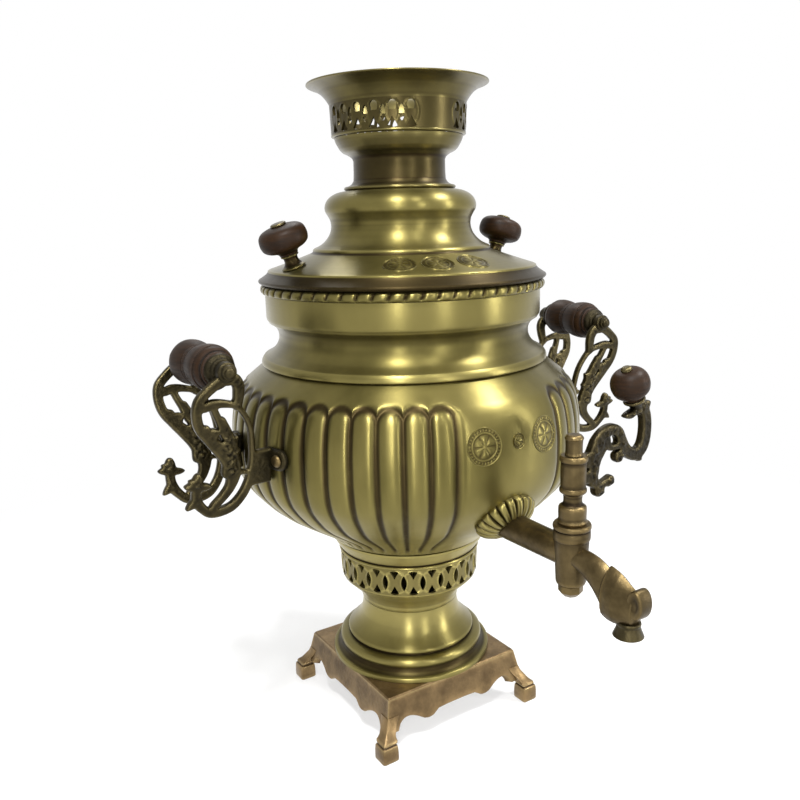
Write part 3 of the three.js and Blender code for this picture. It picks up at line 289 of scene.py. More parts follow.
def spunFinish(name, look):
    # satin metal with fine turning lines, darker in its hollows (patina, and painted shade where a piece sets
    # it) and paler on the lower body (painted light from the floor)
    finish = Finish(name, "spun_brass")
    spot = finish.place()
    parts = finish.node("ShaderNodeSeparateXYZ", {}, {0: spot})
    x, y, z = (Signal(finish, parts.socket.node.outputs[i]) for i in range(3))
    out = (x * x + (y - axisY) * (y - axisY)).root()
    across = finish.node("ShaderNodeCombineXYZ", {}, {0: out * 900.0, 1: z * 900.0, 2: 0.0})
    lines = finish.noise(across, 1.0, 4.0, 0.6)
    cloud = finish.noise(finish.stretched(spot, (1.0, 1.0, 0.45)), 26.0, 4.0, 0.55)
    stain = finish.noise(spot, 70.0, 5.0, 0.6)
    hollowAndShade = finish.attribute("hollowAndShade")
    tone = finish.ramp(cloud, 0.22, 0.80)
    base = finish.blend(tone, hexColour(look["bright"]), hexColour(look["deep"]))
    # painted light: the lower body, from about 55 to 230 mm up, is blended toward a paler tone that stands in
    # for light thrown up from the floor
    low = finish.ramp(z, 0.055, 0.08) * (1.0 - finish.ramp(z, 0.14, 0.23)) * look["paintedFloorLightShare"]
    base = finish.blend(low, base, hexColour(look["paintedFloorLightTone"]))
    rubbed = finish.blend((hollowAndShade * -0.45).limited(), base, hexColour(look["worn"]))
    # the darkness is patina in the hollows, plus painted shade where a piece forces it up: the lid's rim band
    # and the rosette's middle
    dark = (hollowAndShade * (0.75 + stain * 0.5)).limited()
    colour = finish.blend(dark, rubbed, hexColour(look["patinaAndShade"]))
    rough = look["rough"] + (lines - 0.5) * look["lines"] + dark * 0.12 + (stain - 0.5) * 0.1
    bump = finish.bump(0.08, 0.0004, lines)
    finish.surface({
        "Base Color": colour, "Metallic": look["metal"], "Roughness": rough, "Normal": bump,
        "Anisotropic": look["brushed"], "Anisotropic Rotation": 0.25,
    })
    return finish


def castFinish(name, look, slot):
    # sand-cast metal, rubbed bright on its high places
    finish = Finish(name, slot)
    spot = finish.place()
    lumps = finish.noise(spot, 420.0, 4.0, 0.55)
    patches = finish.noise(spot, 60.0, 4.0, 0.6)
    hollowAndShade = finish.attribute("hollowAndShade")
    tone = finish.ramp(patches, 0.3, 0.7)
    base = finish.blend(tone, hexColour(look["bright"]), hexColour(look["deep"]))
    rubbed = finish.blend((hollowAndShade * (lumps * -1.1)).limited(), base, hexColour(look["worn"]))
    dark = (hollowAndShade * (0.6 + lumps * 0.8)).limited()
    colour = finish.blend(dark, rubbed, hexColour(look["patinaAndShade"]))
    rough = look["rough"] + (patches - 0.5) * 0.2 + dark * 0.15
    bump = finish.bump(look["lumps"], 0.0005, lumps + patches * 0.6)
    finish.surface({"Base Color": colour, "Metallic": look["metal"], "Roughness": rough, "Normal": bump})
    return finish


def woodFinish(name, look):
    finish = Finish(name, "turned_wood")
    spot = finish.place()
    grain = finish.noise(finish.stretched(spot, (90.0, 90.0, 620.0)), 1.0, 5.0, 0.6)
    cloud = finish.noise(spot, 60.0, 3.0, 0.5)
    hollowAndShade = finish.attribute("hollowAndShade")
    mixed = (finish.ramp(grain, 0.3, 0.75) * 0.7 + cloud * 0.3 + hollowAndShade * 0.6).limited()
    colour = finish.blend(mixed, hexColour(look["bright"]), hexColour(look["deep"]))
    rough = look["rough"] + (grain - 0.5) * 0.2
    finish.surface({
        "Base Color": colour, "Roughness": rough, "Specular IOR Level": look["gloss"],
        "Normal": finish.bump(0.25, 0.0003, grain),
    })
    return finish


def ironFinish(name, look):
    finish = Finish(name, "iron")
    spot = finish.place()
    scale = finish.noise(spot, 300.0, 5.0, 0.6)
    tone = finish.ramp(scale, 0.3, 0.7)
    colour = finish.blend(tone, hexColour(look["bright"]), hexColour(look["deep"]))
    rough = look["rough"] + (scale - 0.5) * 0.2
    bump = finish.bump(0.5, 0.0005, scale)
    finish.surface({"Base Color": colour, "Metallic": 0.6, "Roughness": rough, "Normal": bump})
    return finish


brass = spunFinish("spun_brass", spunLook)
neckBrass = spunFinish("neck_brass", neckLook)
bronze = castFinish("cast_bronze", castLook, "cast_bronze")
tapBronze = castFinish("tap_bronze", tapLook, "cast_bronze")
darkBronze = castFinish("dark_bronze", darkLook, "dark_bronze")
leverBronze = castFinish("lever_bronze", leverLook, "dark_bronze")
wood = woodFinish("turned_wood", woodLook)
iron = ironFinish("grate_iron", ironLook)
print("finishes made")


# ---- drawing tools

class Shape:
    # points, faces and how dark each point is made: patina by how hollow it lies, and painted shade in a few
    # bands; 1 is deep, -1 stands out
    def __init__(self, points, faces, hollowAndShade=None):
        self.points = [tuple(p) for p in points]
        self.faces = [tuple(f) for f in faces]
        self.hollowAndShade = list(hollowAndShade) if hollowAndShade is not None else [0.0] * len(self.points)

    def __add__(self, other):
        shift = len(self.points)
        faces = self.faces + [tuple(i + shift for i in f) for f in other.faces]
        return Shape(self.points + other.points, faces, self.hollowAndShade + other.hollowAndShade)

    def moved(self, matrix):
        return Shape([matrix @ Vector(p) for p in self.points], self.faces, self.hollowAndShade)

    def shaded(self, least, low, high, reach=0.0):
        # at least this dark between two levels and beyond a radius
        hollowAndShade = [
            max(dark, least) if low < z < high and math.hypot(x, y) > reach else dark
            for (x, y, z), dark in zip(self.points, self.hollowAndShade)
        ]
        return Shape(self.points, self.faces, hollowAndShade)

    def toned(self, rule):
        return Shape(self.points, self.faces, [rule(dark) for dark in self.hollowAndShade])


def shift(x, y, z):
    return Matrix.Translation((x, y, z))


def turn(angle, letter):
    return Matrix.Rotation(math.radians(angle), 4, letter)


def addPiece(name, shape, finish, body, nodes=(), sharp=38, weld=0.002):
    mesh = bpy.data.meshes.new(name)
    work = bmesh.new()
    layer = work.verts.layers.float.new("hollowAndShade")
    corners = []
    for point, dark in zip(shape.points, shape.hollowAndShade):
        corner = work.verts.new(point)
        corner[layer] = dark
        corners.append(corner)
    for face in shape.faces:
        if len(set(face)) > 2:
            try:
                work.faces.new([corners[i] for i in face])
            except ValueError:
                pass
    bmesh.ops.remove_doubles(work, verts=work.verts, dist=weld)
    bmesh.ops.dissolve_degenerate(work, dist=weld / 2, edges=work.edges)
    bmesh.ops.recalc_face_normals(work, faces=work.faces)
    work.to_mesh(mesh)
    work.free()
    mesh.transform(urnAxis)
    mesh.shade_smooth()
    mesh.set_sharp_from_angle(angle=math.radians(sharp))
    mesh.materials.append(finish.material)
    made = bpy.data.objects.new(name, mesh)
    bpy.context.scene.collection.objects.link(made)
    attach(made, body)
    if nodes:
        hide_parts(*nodes)
    return made


def keepNode(name, finish):
    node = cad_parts[name]
    node.data.materials.clear()
    node.data.materials.append(finish.material)


def curveThrough(points, steps=6):
    points = [np.array(p, float) for p in points]
    ends = [2 * points[0] - points[1], *points, 2 * points[-1] - points[-2]]
    line = []
    for a, b, c, d in zip(ends, ends[1:], ends[2:], ends[3:]):
        knots = [0.0]
        for p, q in ((a, b), (b, c), (c, d)):
            knots.append(knots[-1] + max(np.linalg.norm(q - p), 1e-6) ** 0.5)
        t0, t1, t2, t3 = knots
        for k in range(steps):
            t = t1 + (t2 - t1) * k / steps
            ab = (a * (t1 - t) + b * (t - t0)) / (t1 - t0)
            bc = (b * (t2 - t) + c * (t - t1)) / (t2 - t1)
            cd = (c * (t3 - t) + d * (t - t2)) / (t3 - t2)
            abc = (ab * (t2 - t) + bc * (t - t0)) / (t2 - t0)
            bcd = (bc * (t3 - t) + cd * (t - t1)) / (t3 - t1)
            line.append((abc * (t2 - t) + bcd * (t - t1)) / (t2 - t1))
    line.append(points[-1])
    return [tuple(p) for p in line]


def outlineOf(*runs):
    # joins runs of points: each is smooth in itself and starts with a corner where the last one ends
    line, end = [], []
    for run in runs:
        run = end + list(run)
        part = curveThrough(run) if len(run) > 2 else run
        line += [p for p in part if not line or math.dist(line[-1], p) > 0.02]
        end = run[-1:]
    return line


def hollowsOf(line, reach=2.2, full=0.55):
    # how far each point of an outline lies in a hollow, up to 1, or stands out, down to -1
    spots = np.array(line, float)
    along = np.concatenate([[0], np.cumsum(np.linalg.norm(np.diff(spots, axis=0), axis=1))])
    dark = []
    for place, spot in zip(along, spots):
        a = np.array([np.interp(place - reach, along, spots[:, k]) for k in range(2)])
        b = np.array([np.interp(place + reach, along, spots[:, k]) for k in range(2)])
        out = np.array([b[1] - a[1], a[0] - b[0]])
        length = np.linalg.norm(out)
        if length < 1e-6 or place < reach / 3 or place > along[-1] - reach / 3:
            dark.append(0.0)
            continue
        depth = float(np.dot((a + b) / 2 - spot, out / length))
        dark.append(math.copysign(min(max(abs(depth) / full - 0.22, 0) / 0.78, 1.0), depth))
    return dark


def around(angle, radius, level):
    return (radius * math.sin(angle), -radius * math.cos(angle), level)


def gridFaces(rows, count, closed=False):
    # the faces between rows of points; closed also joins the last row to the first
    faces = []
    for k in range(rows if closed else rows - 1):
        for i in range(count):
            j, m = (i + 1) % count, (k + 1) % rows
            faces.append((k * count + i, k * count + j, m * count + j, m * count + i))
    return faces


def lathe(line, steps=160, wave=None):
    # turns an outline of [radius, height] about Z; a radius of zero closes on the axis
    dark = hollowsOf(line)
    points, faces, hollowAndShade = [], [], []
    rows = []
    for k, ((r, z), shade) in enumerate(zip(line, dark)):
        if abs(r) < 1e-6:
            rows.append([len(points)])
            points.append((0, 0, z))
            hollowAndShade.append(shade)
            continue
        row = []
        for i in range(steps):
            angle = 2 * math.pi * i / steps
            radius = r + (wave(angle, r, z) if wave else 0)
            row.append(len(points))
            points.append(around(angle, radius, z))
            hollowAndShade.append(shade)
        rows.append(row)
    pairs = list(zip(rows, rows[1:]))
    if len(rows[0]) > 1 and len(rows[-1]) > 1:
        pairs.append((rows[-1], rows[0]))
    for low, high in pairs:
        for i in range(steps):
            j = (i + 1) % steps
            corners = [low[i % len(low)], low[j % len(low)], high[j % len(high)], high[i % len(high)]]
            face = list(dict.fromkeys(corners))
            if len(face) > 2:
                faces.append(face)
    return Shape(points, faces, hollowAndShade)


def shell(outer, wall=2.0):
    # closes an outer outline with an inner one a wall's thickness inside it
    return list(outer) + [(max(r - wall, 0.5), z) for r, z in outer[::-1]]


def loft(loops, capped=True, hollowAndShade=None):
    # skins a run of loops that have equal numbers of points
    count = len(loops[0])
    points = [p for loop in loops for p in loop]
    faces = gridFaces(len(loops), count)
    if capped:
        faces.append(tuple(range(count))[::-1])
        faces.append(tuple(range((len(loops) - 1) * count, len(loops) * count)))
    return Shape(points, faces, hollowAndShade)


def alongY(shape):
    return shape.moved(turn(90, "X"))  # +Z becomes -Y


def signedArea(loop):
    spots = np.array(loop)
    onward = np.roll(spots, -1, 0)
    return float((spots[:, 0] * onward[:, 1] - onward[:, 0] * spots[:, 1]).sum() / 2)


def rimEdges(faces):
    sides = {(a, b) for face in faces for a, b in zip(face, face[1:] + face[:1])}
    return sorted((a, b) for a, b in sides if (b, a) not in sides)


def joinedRims(solids, holes):
    # the edges of overlapping flat outlines as closed runs, with the metal on their left
    coords, faces = [], []
    for loop in solids + holes:
        faces.append(list(range(len(coords), len(coords) + len(loop))))
        coords += [Vector(p) for p in (loop if signedArea(loop) > 0 else loop[::-1])]
    points, _, made, _, _, origins = delaunay_2d_cdt(coords, [], faces, 0, 1e-4)
    kept = [
        tuple(face) for face, source in zip(made, origins)
        if any(i < len(solids) for i in source) and not any(i >= len(solids) for i in source)
    ]
    onward = {}
    for a, b in rimEdges(kept):
        onward.setdefault(a, []).append(b)
    runs = []
    for first in sorted(onward):
        while onward[first]:
            run, spot = [first], onward[first].pop()
            while spot != first:
                run.append(spot)
                spot = onward[spot].pop()
            loop = [tuple(points[i]) for i in run]
            if abs(signedArea(loop)) > 1.0:
                runs.append(loop)
    return runs


def evenRun(run, spacing, rounds):
    # spaces a closed run evenly and rounds its corners a little
    spots = np.array(list(run) + [run[0]], float)
    along = np.concatenate([[0], np.cumsum(np.linalg.norm(np.diff(spots, axis=0), axis=1))])
    places = np.linspace(0, along[-1], max(int(along[-1] / spacing), 8), endpoint=False)
    even = np.stack([np.interp(places, along, spots[:, k]) for k in (0, 1)], 1)
    for _ in range(rounds):
        even = even * 0.5 + (np.roll(even, 1, 0) + np.roll(even, -1, 0)) * 0.25
    return even


def rimDistance(spots, runs):
    # distance to the nearest rim, and whether the rims enclose the spot
    best = np.full(len(spots), 1e9)
    within = np.zeros(len(spots), bool)
    for run in runs:
        for a, b in zip(run, np.roll(run, -1, 0)):
            way = b - a
            along = np.clip(((spots - a) @ way) / max(way @ way, 1e-12), 0, 1)
            best = np.minimum(best, np.hypot(*(spots - a - along[:, None] * way).T))
            if a[1] != b[1]:
                passes = (a[1] > spots[:, 1]) != (b[1] > spots[:, 1])
                within ^= passes & (spots[:, 0] < way[0] * (spots[:, 1] - a[1]) / way[1] + a[0])
    return best, within


def netOf(runs, spacing, depths):
    # fills closed runs with triangles whose rows follow the rims; returns points, faces, rims, depths
    low = np.min([run.min(0) for run in runs], 0)
    high = np.max([run.max(0) for run in runs], 0)
    choices = []
    for depth in depths:
        for run in runs:
            way = np.roll(run, -1, 0) - np.roll(run, 1, 0)
            way /= np.maximum(np.linalg.norm(way, axis=1), 1e-9)[:, None]
            choices += [(*(p + depth * np.array((-w[1], w[0]))), depth * 0.85) for p, w in zip(run, way)]
    rise = spacing * 0.866
    for row in range(int((high[1] - low[1]) / rise) + 1):
        for col in range(int((high[0] - low[0]) / spacing) + 1):
            choices.append((
                low[0] + (col + 0.5 * (row % 2) + 0.25) * spacing, low[1] + (row + 0.5) * rise,
                (depths[-1] if depths else 0) + spacing * 0.45,
            ))
    choices = np.array(choices)
    gaps, within = rimDistance(choices[:, :2], runs)
    taken, kept = {}, []
    for x, y, _ in choices[within & (gaps >= choices[:, 2])]:
        cell = (int(x / spacing), int(y / spacing))
        near = [q for i in (-1, 0, 1) for j in (-1, 0, 1) for q in taken.get((cell[0] + i, cell[1] + j), ())]
        if all(abs(q[0] - x) + abs(q[1] - y) > spacing * 0.55 for q in near):
            taken.setdefault(cell, []).append((x, y))
            kept.append(Vector((x, y)))
    coords, edges = [], []
    for run in runs:
        start, count = len(coords), len(run)
        coords += [Vector(p) for p in run]
        edges += [(start + i, start + (i + 1) % count) for i in range(count)]
    points, _, made, _, _, _ = delaunay_2d_cdt(coords + kept, edges, [], 0, 1e-5)
    flat = np.array([tuple(p) for p in points])
    _, solid = rimDistance(np.array([flat[list(face)].mean(0) for face in made]), runs)
    faces = [tuple(face) for face, good in zip(made, solid) if good]
    used = sorted({i for face in faces for i in face})
    index = {old: new for new, old in enumerate(used)}
    faces = [tuple(index[i] for i in face) for face in faces]
    flat = flat[used]
    return flat, faces, rimEdges(faces), rimDistance(flat, runs)[0]


def thicken(flat, faces, rims, front, back):
    # front and back are functions from a flat point and its index to a place in space
    count = len(flat)
    points = [front(p, i) for i, p in enumerate(flat)] + [back(p, i) for i, p in enumerate(flat)]
    solid = list(faces) + [tuple(i + count for i in f[::-1]) for f in faces]
    solid += [(b, a, a + count, b + count) for a, b in rims]
    return points, solid


def bandLoops(line, widths, steps=5, capSides=10):
    # a ribbon of changing width along a smooth line, as triangles that share their edges
    centre = curveThrough(line, steps)
    places = np.linspace(0, len(widths) - 1, len(centre))
    half = np.interp(places, range(len(widths)), widths) / 2
    spots = np.array(centre)
    ways = np.gradient(spots, axis=0)
    ways /= np.maximum(np.linalg.norm(ways, axis=1), 1e-9)[:, None]
    left = [(p[0] - w[1] * h, p[1] + w[0] * h) for p, w, h in zip(spots, ways, half)]
    right = [(p[0] + w[1] * h, p[1] - w[0] * h) for p, w, h in zip(spots, ways, half)]
    loops = []
    for i in range(len(centre) - 1):
        loops += [[right[i], right[i + 1], left[i + 1]], [right[i], left[i + 1], left[i]]]
    for k in (0, -1):
        loops.append(roundLoop(*spots[k], half[k] * 0.995, capSides))
    return loops


def roundLoop(x, y, radius, sides=12, start=0.13):
    swings = [start + 2 * math.pi * i / sides for i in range(sides)]
    return [(x + radius * math.cos(a), y + radius * math.sin(a)) for a in swings]


def petalLoop(start, end, half, early=0.8, blunt=0.8, steps=10):
    # a leaf's outline between two places; a small blunt gives a round one
    way = np.array(end, float) - np.array(start, float)
    side = np.array((-way[1], way[0])) / np.hypot(*way)
    shares = np.linspace(0, 1, steps + 1)
    wide = half * np.maximum(np.sin(math.pi * shares ** early), 0) ** blunt
    spots = [np.array(start) + way * s for s in shares]
    back = list(zip(spots, wide))[-2:0:-1]
    return [tuple(p + side * w) for p, w in zip(spots, wide)] + [tuple(p - side * w) for p, w in back]


def waves(x, z, scale, layer):
    return noise.noise((x * scale, z * scale, layer))


def casting(solids, facts, lumps):
    # a flat casting drawn in X and Z, thick along Y, with rounded edges and a slightly sunk middle;
    # lumps are its leafy swellings as [x, z, radius, height]
    spacing, thickness, edge = (facts[k] for k in ("spacing", "thickness", "edge"))
    runs = [evenRun(run, spacing, 2) for run in joinedRims(solids, [])]
    flat, faces, rims, gaps = netOf(runs, spacing, (0.3, 0.8, 1.45, 2.2))
    reach = np.clip(gaps / edge, 0, 1)
    sunk = np.clip((gaps - 1.3) / 1.1, 0, 1)
    leafy = np.zeros(len(flat))
    for x, z, radius, height in lumps:
        leafy += height * np.exp(-(((flat[:, 0] - x) ** 2 + (flat[:, 1] - z) ** 2) / radius ** 2))
    ripple = np.array([2.2 * waves(x, z, 0.42, 3.0) + 1.1 * waves(x, z, 0.95, 7.0) for x, z in flat])
    half = thickness / 2 * (0.34 + 0.66 * np.sqrt(1 - (1 - reach) ** 2) - 0.13 * sunk)
    half += (leafy * (0.9 + 0.2 * ripple) + np.minimum(leafy, 1) * 0.38 * ripple + 0.1 * ripple) * reach

    def skin(side):
        return lambda p, i: (p[0], side * half[i], p[1])

    points, solid = thicken(flat, faces, rims, skin(-1), skin(1))
    crest = np.clip(1 - np.abs(gaps - 0.9) / 0.7, 0, 1)
    dark = 0.35 * sunk - 0.75 * crest - 0.8 * np.minimum(leafy, 1) * ripple
    return Shape(points, solid, list(np.clip(dark, -1, 1)) * 2)


print("drawing tools ready")


# ---- vessel: measured outline of the bulb

vesselLine = [
    (58.0, 142.3), (60.7, 143.0), (62.9, 145), (66.5, 148), (71.2, 152), (77.3, 156), (83.5, 160),
    (89.8, 164), (95.9, 168), (101.9, 172), (106.9, 176), (111.3, 180), (115, 184), (118.6, 188),
    (121.7, 192), (124.4, 196), (127.4, 203), (129.2, 211), (130, 220), (130, 230), (129.2, 240),
    (127.8, 248), (126.2, 254), (123.6, 259.5), (120.3, 264), (115.6, 268), (110.6, 272), (106.4, 275.3),
    (103.3, 277.3),
]
lobeFacts = {
    "lobes": 43, "pitch": 7.5, "panel": 18.75, "panelSteps": 30, "archLevel": 257.2, "depth": 1.7,
    "crown": 0.8, "foot": 144.5, "footFade": 6.0, "lineWidth": 2.2, "lineHalf": 8.5, "wall": 3.0,
    "widest": 129.95, "arches": (252, 269), "fine": 0.9, "coarse": 1.9, "inside": 0.35,
}
lobeSteps = [-1, -0.94, -0.87, -0.78, -0.66, -0.48, -0.2, 0.2, 0.48, 0.66, 0.78, 0.87, 0.94]


def wallRadius(level):
    return float(np.interp(level, [z for _, z in vesselLine], [r for r, _ in vesselLine]))


def lobeDrop(angle, radius, level, facts=lobeFacts):
    # how far the wall drops from the vessel's outline, and how dark the groove is there
    pitch = math.radians(facts["pitch"])
    panel = math.radians(facts["panel"])
    side = abs((angle + math.pi) % (2 * math.pi) - math.pi)
    first = panel + pitch / 2
    count = max(0, min(round((side - first) / pitch), facts["lobes"] // 2))
    half = pitch / 2 * radius
    across = (side - first - count * pitch) * radius
    above = max(level - facts["archLevel"], 0)
    gap = half - math.hypot(across, above)
    width = facts["lineWidth"] * (0.35 + 0.65 * half / facts["lineHalf"])
    fade = min(max((level - facts["foot"]) / facts["footFade"], 0), 1)
    groove = math.exp(-(gap / width) ** 2) * fade
    crown = facts["crown"] * ((half - gap) / half) ** 2 * fade if gap > 0 else 0
    edge = max(0.0, 1 - (max(abs(gap) - 0.5 * width, 0) / (0.85 * width)) ** 1.5)
    return groove * facts["depth"] + crown * min(1, max(gap, 0) / 3), edge * fade


def bulbShape(facts):
    panel, pitch, across = facts["panel"], facts["pitch"], facts["panelSteps"]
    angles = [panel + (k + 0.5) * pitch + s * pitch / 2 for k in range(facts["lobes"]) for s in lobeSteps]
    angles += [360 - panel + panel * 2 * k / across for k in range(across)]
    angles = [math.radians(a) for a in angles]
    outline = curveThrough(vesselLine, 4)
    levels = [z for _, z in outline]
    rows = [levels[0]]
    while rows[-1] < levels[-1]:
        step = facts["fine"] if facts["arches"][0] < rows[-1] < facts["arches"][1] else facts["coarse"]
        rows.append(min(rows[-1] + step, levels[-1]))
    radii = np.interp(rows, levels, [r for r, _ in outline])
    profile = [(min(float(r), facts["widest"]), z) for r, z in zip(radii, rows)]
    points, hollowAndShade = [], []
    for (r, z), shade in zip(profile, hollowsOf(profile, 3.0)):
        for angle in angles:
            drop, edge = lobeDrop(angle, r, z)
            points.append(around(angle, r - drop, z))
            hollowAndShade.append(max(edge, shade))
    inner = profile[::-4]
    for r, z in inner:
        points += [around(angle, r - facts["wall"], z) for angle in angles]
        hollowAndShade += [facts["inside"]] * len(angles)
    return Shape(points, gridFaces(len(profile) + len(inner), len(angles), closed=True), hollowAndShade)


addPiece("bulb_skin", bulbShape(lobeFacts), brass, "stand", ["bulb"])
print("bulb made")

stampFacts = {
    "panelTurns": (-11.0, 11.0), "panelLevel": 240.5, "panelRadius": 12.4, "markRadius": 5.0,
    "markTurn": 0.4, "markPetals": 8, "lidTurns": (-34.0, -16.5, 2.0), "lidRing": 80.6, "lidRadius": 11.2,
    "lidBeads": 24, "lidSlope": 0.945, "petals": 6, "beads": 30,
}


def stampShape(radius, place, petals, beads):
    # a stamped rosette: a rim, a ring of beads and petals; place maps across, up and lift to the wall
    steps, rows = 96, 24
    points, hollowAndShade = [], []

    def swell(share, middle, width):
        return math.exp(-((share - middle) / width) ** 2)

    for k in range(rows + 1):
        share = k / rows
        for i in range(steps):
            angle = 2 * math.pi * i / steps
            bead = max(math.cos(beads * angle), 0) ** 0.5 * swell(share, 0.83, 0.055) if beads else 0
            ring = swell(share, 0.95, 0.035) + swell(share, 0.69, 0.035)
            length = max(math.sin(math.pi * min(share / 0.62, 1)), 0) ** 0.7
            petal = abs(math.cos(petals * angle / 2)) ** 0.8 * length
            high = max(bead, ring, petal, 1.2 * swell(share, 0, 0.11))
            lift = 0.12 + 0.5 * min(high, 1) if k < rows else -0.7
            points.append(place(radius * share * math.sin(angle), radius * share * math.cos(angle), lift))
            hollowAndShade.append(0.8 - 1.1 * min(high, 1) if k < rows else 0.8)
    back = tuple(range(rows * steps, (rows + 1) * steps))
    return Shape(points, gridFaces(rows + 1, steps) + [back], hollowAndShade)


def addPanelStamps(facts):
    middle = wallRadius(facts["panelLevel"])
    rows = [(t, facts["panelRadius"], facts["petals"], facts["beads"]) for t in facts["panelTurns"]]
    rows.append((facts["markTurn"], facts["markRadius"], facts["markPetals"], 0))
    for number, (side, radius, petals, beads) in enumerate(rows, 1):
        def place(across, up, lift, side=side):
            level = facts["panelLevel"] + up
            return around(math.radians(side) + across / middle, wallRadius(level) + lift, level)
        stamp = stampShape(radius, place, petals, beads)
        addPiece(f"panel_rosette_{number}", stamp, brass, "stand", sharp=70)


addPanelStamps(stampFacts)

collarLine = outlineOf(
    [(103.2, 277.6), (105.0, 278.3), (105.2, 279.6), (104.6, 281.4), (103.4, 283.2)],
    [(100.4, 284.8), (96.8, 287.2), (94.0, 290.4), (92.2, 294.2), (91.7, 297.8), (92.1, 301.2),
        (93.9, 304.6), (96.6, 307)],
    [(98.4, 308.1)], [(98.9, 309.0), (99.6, 310.1), (100, 311.4)], [(100, 328)],
)
addPiece("collar_skin", lathe(shell(collarLine)), brass, "stand", ["body_collar"])

ropeFacts = {
    "beads": 62, "inner": 96.5, "flat": 100.4, "core": 99.7, "outer": 103.2, "foot": 328.3, "height": 6.2,
    "slant": -0.8, "cut": 1.5, "inside": 0.5,
}


def ropeShape(facts):
    inner, core, foot, height = (facts[k] for k in ("inner", "core", "foot", "height"))

    def groove(angle, z):
        # how near a spot is to the groove between two beads, and its share of the height
        share = (z - foot) / height
        swell = math.cos(facts["beads"] * angle + facts["slant"] * (share - 0.5) * 2)
        return 0.5 - 0.5 * swell, share

    def wave(angle, r, z):
        if r < inner + 2:
            return 0
        near, share = groove(angle, z)
        return -facts["cut"] * (near ** 8 * 0.8 + near * 0.2) * min(max((share - 0.08) / 0.2, 0), 1)

    line = [(inner, foot), (facts["flat"], foot)]
    for k in range(1, 12):
        swing = -math.pi / 2 + math.pi * k / 12
        reach = core + (facts["outer"] - core) * math.cos(swing) ** 0.7
        line.append((reach, foot + height / 2 + height / 2 * math.sin(swing)))
    line += [(facts["flat"], foot + height), (inner, foot + height)]
    shape = lathe(line, facts["beads"] * 10, wave)
    depth = []
    for x, y, z in shape.points:
        near, share = groove(math.atan2(x, -y), z)
        shade = 2.1 * near ** 7 * min(max((share - 0.12) / 0.2, 0), 1)
        depth.append(min(shade - 0.25, 1) if math.hypot(x, y) > 99 else facts["inside"])
    return Shape(shape.points, shape.faces, depth)


addPiece("rope_skin", ropeShape(ropeFacts), brass, "stand", ["rope_rim"])

# ---- pedestal and vent gallery

pedestalFacts = {"waist": 37.5, "foot": 62.3, "low": 42.0, "height": 44.0}
pedestalRuns = [
    [(1, 0), (1.0, 0.05)], [(0.985, 0.07), (0.93, 0.078)],
    [(0.85, 0.085), (0.76, 0.125), (0.73, 0.18), (0.765, 0.24), (0.745, 0.295), (0.64, 0.334), (0.46, 0.348)],
    [(0.44, 0.362), (0.45, 0.382)], [(0.5, 0.39)],
    [(0.498, 0.423), (0.423, 0.468), (0.31, 0.532), (0.18, 0.614), (0.085, 0.705), (0.03, 0.807), (0, 0.91),
        (0, 1)],
]


def pedestalLine(facts):
    waist, low, height = (facts[k] for k in ("waist", "low", "height"))
    reach = facts["foot"] - waist
    return outlineOf(*[[(waist + reach * s, low + height * t) for s, t in run] for run in pedestalRuns])


addPiece("pedestal_skin", lathe(shell(pedestalLine(pedestalFacts))), brass, "stand", ["pedestal"])

galleryFacts = {
    "cells": 24, "low": 107.4, "high": 128.6, "middle": 118.0, "lensHalf": 2.15, "lensRise": 6.2,
    "ringRadius": 8.75, "stroke": 1.15, "raise": 0.55, "wall": 2.0, "wedgeHalf": 3.4, "wedgeRise": 6.1,
    "wedgeFoot": 8.6, "radius": 53.1, "spacing": 1.0,
}


def lensLoop(x, z, half, rise, steps=7):
    shares = [k / steps for k in range(steps + 1)]
    side = [(half * math.sin(math.pi * t) ** 0.85, -rise + 2 * rise * t) for t in shares]
    return [(x + a, z + b) for a, b in side] + [(x - a, z + b) for a, b in side[-2:0:-1]]


def wedgeLoop(x, base, tip, half):
    # a triangle with a bowed base and hollow sides
    way = 1 if tip > base else -1
    bow = [(x + half * s, base - way * 0.9 * (1 - s * s)) for s in (-1, -0.6, -0.2, 0.2, 0.6, 1)]
    near = [(x + half * 0.52, base + (tip - base) * 0.42), (x + half * 0.2, base + (tip - base) * 0.76)]
    far = [(2 * x - a, b) for a, b in near[::-1]]
    return bow + near + [(x, tip)] + far


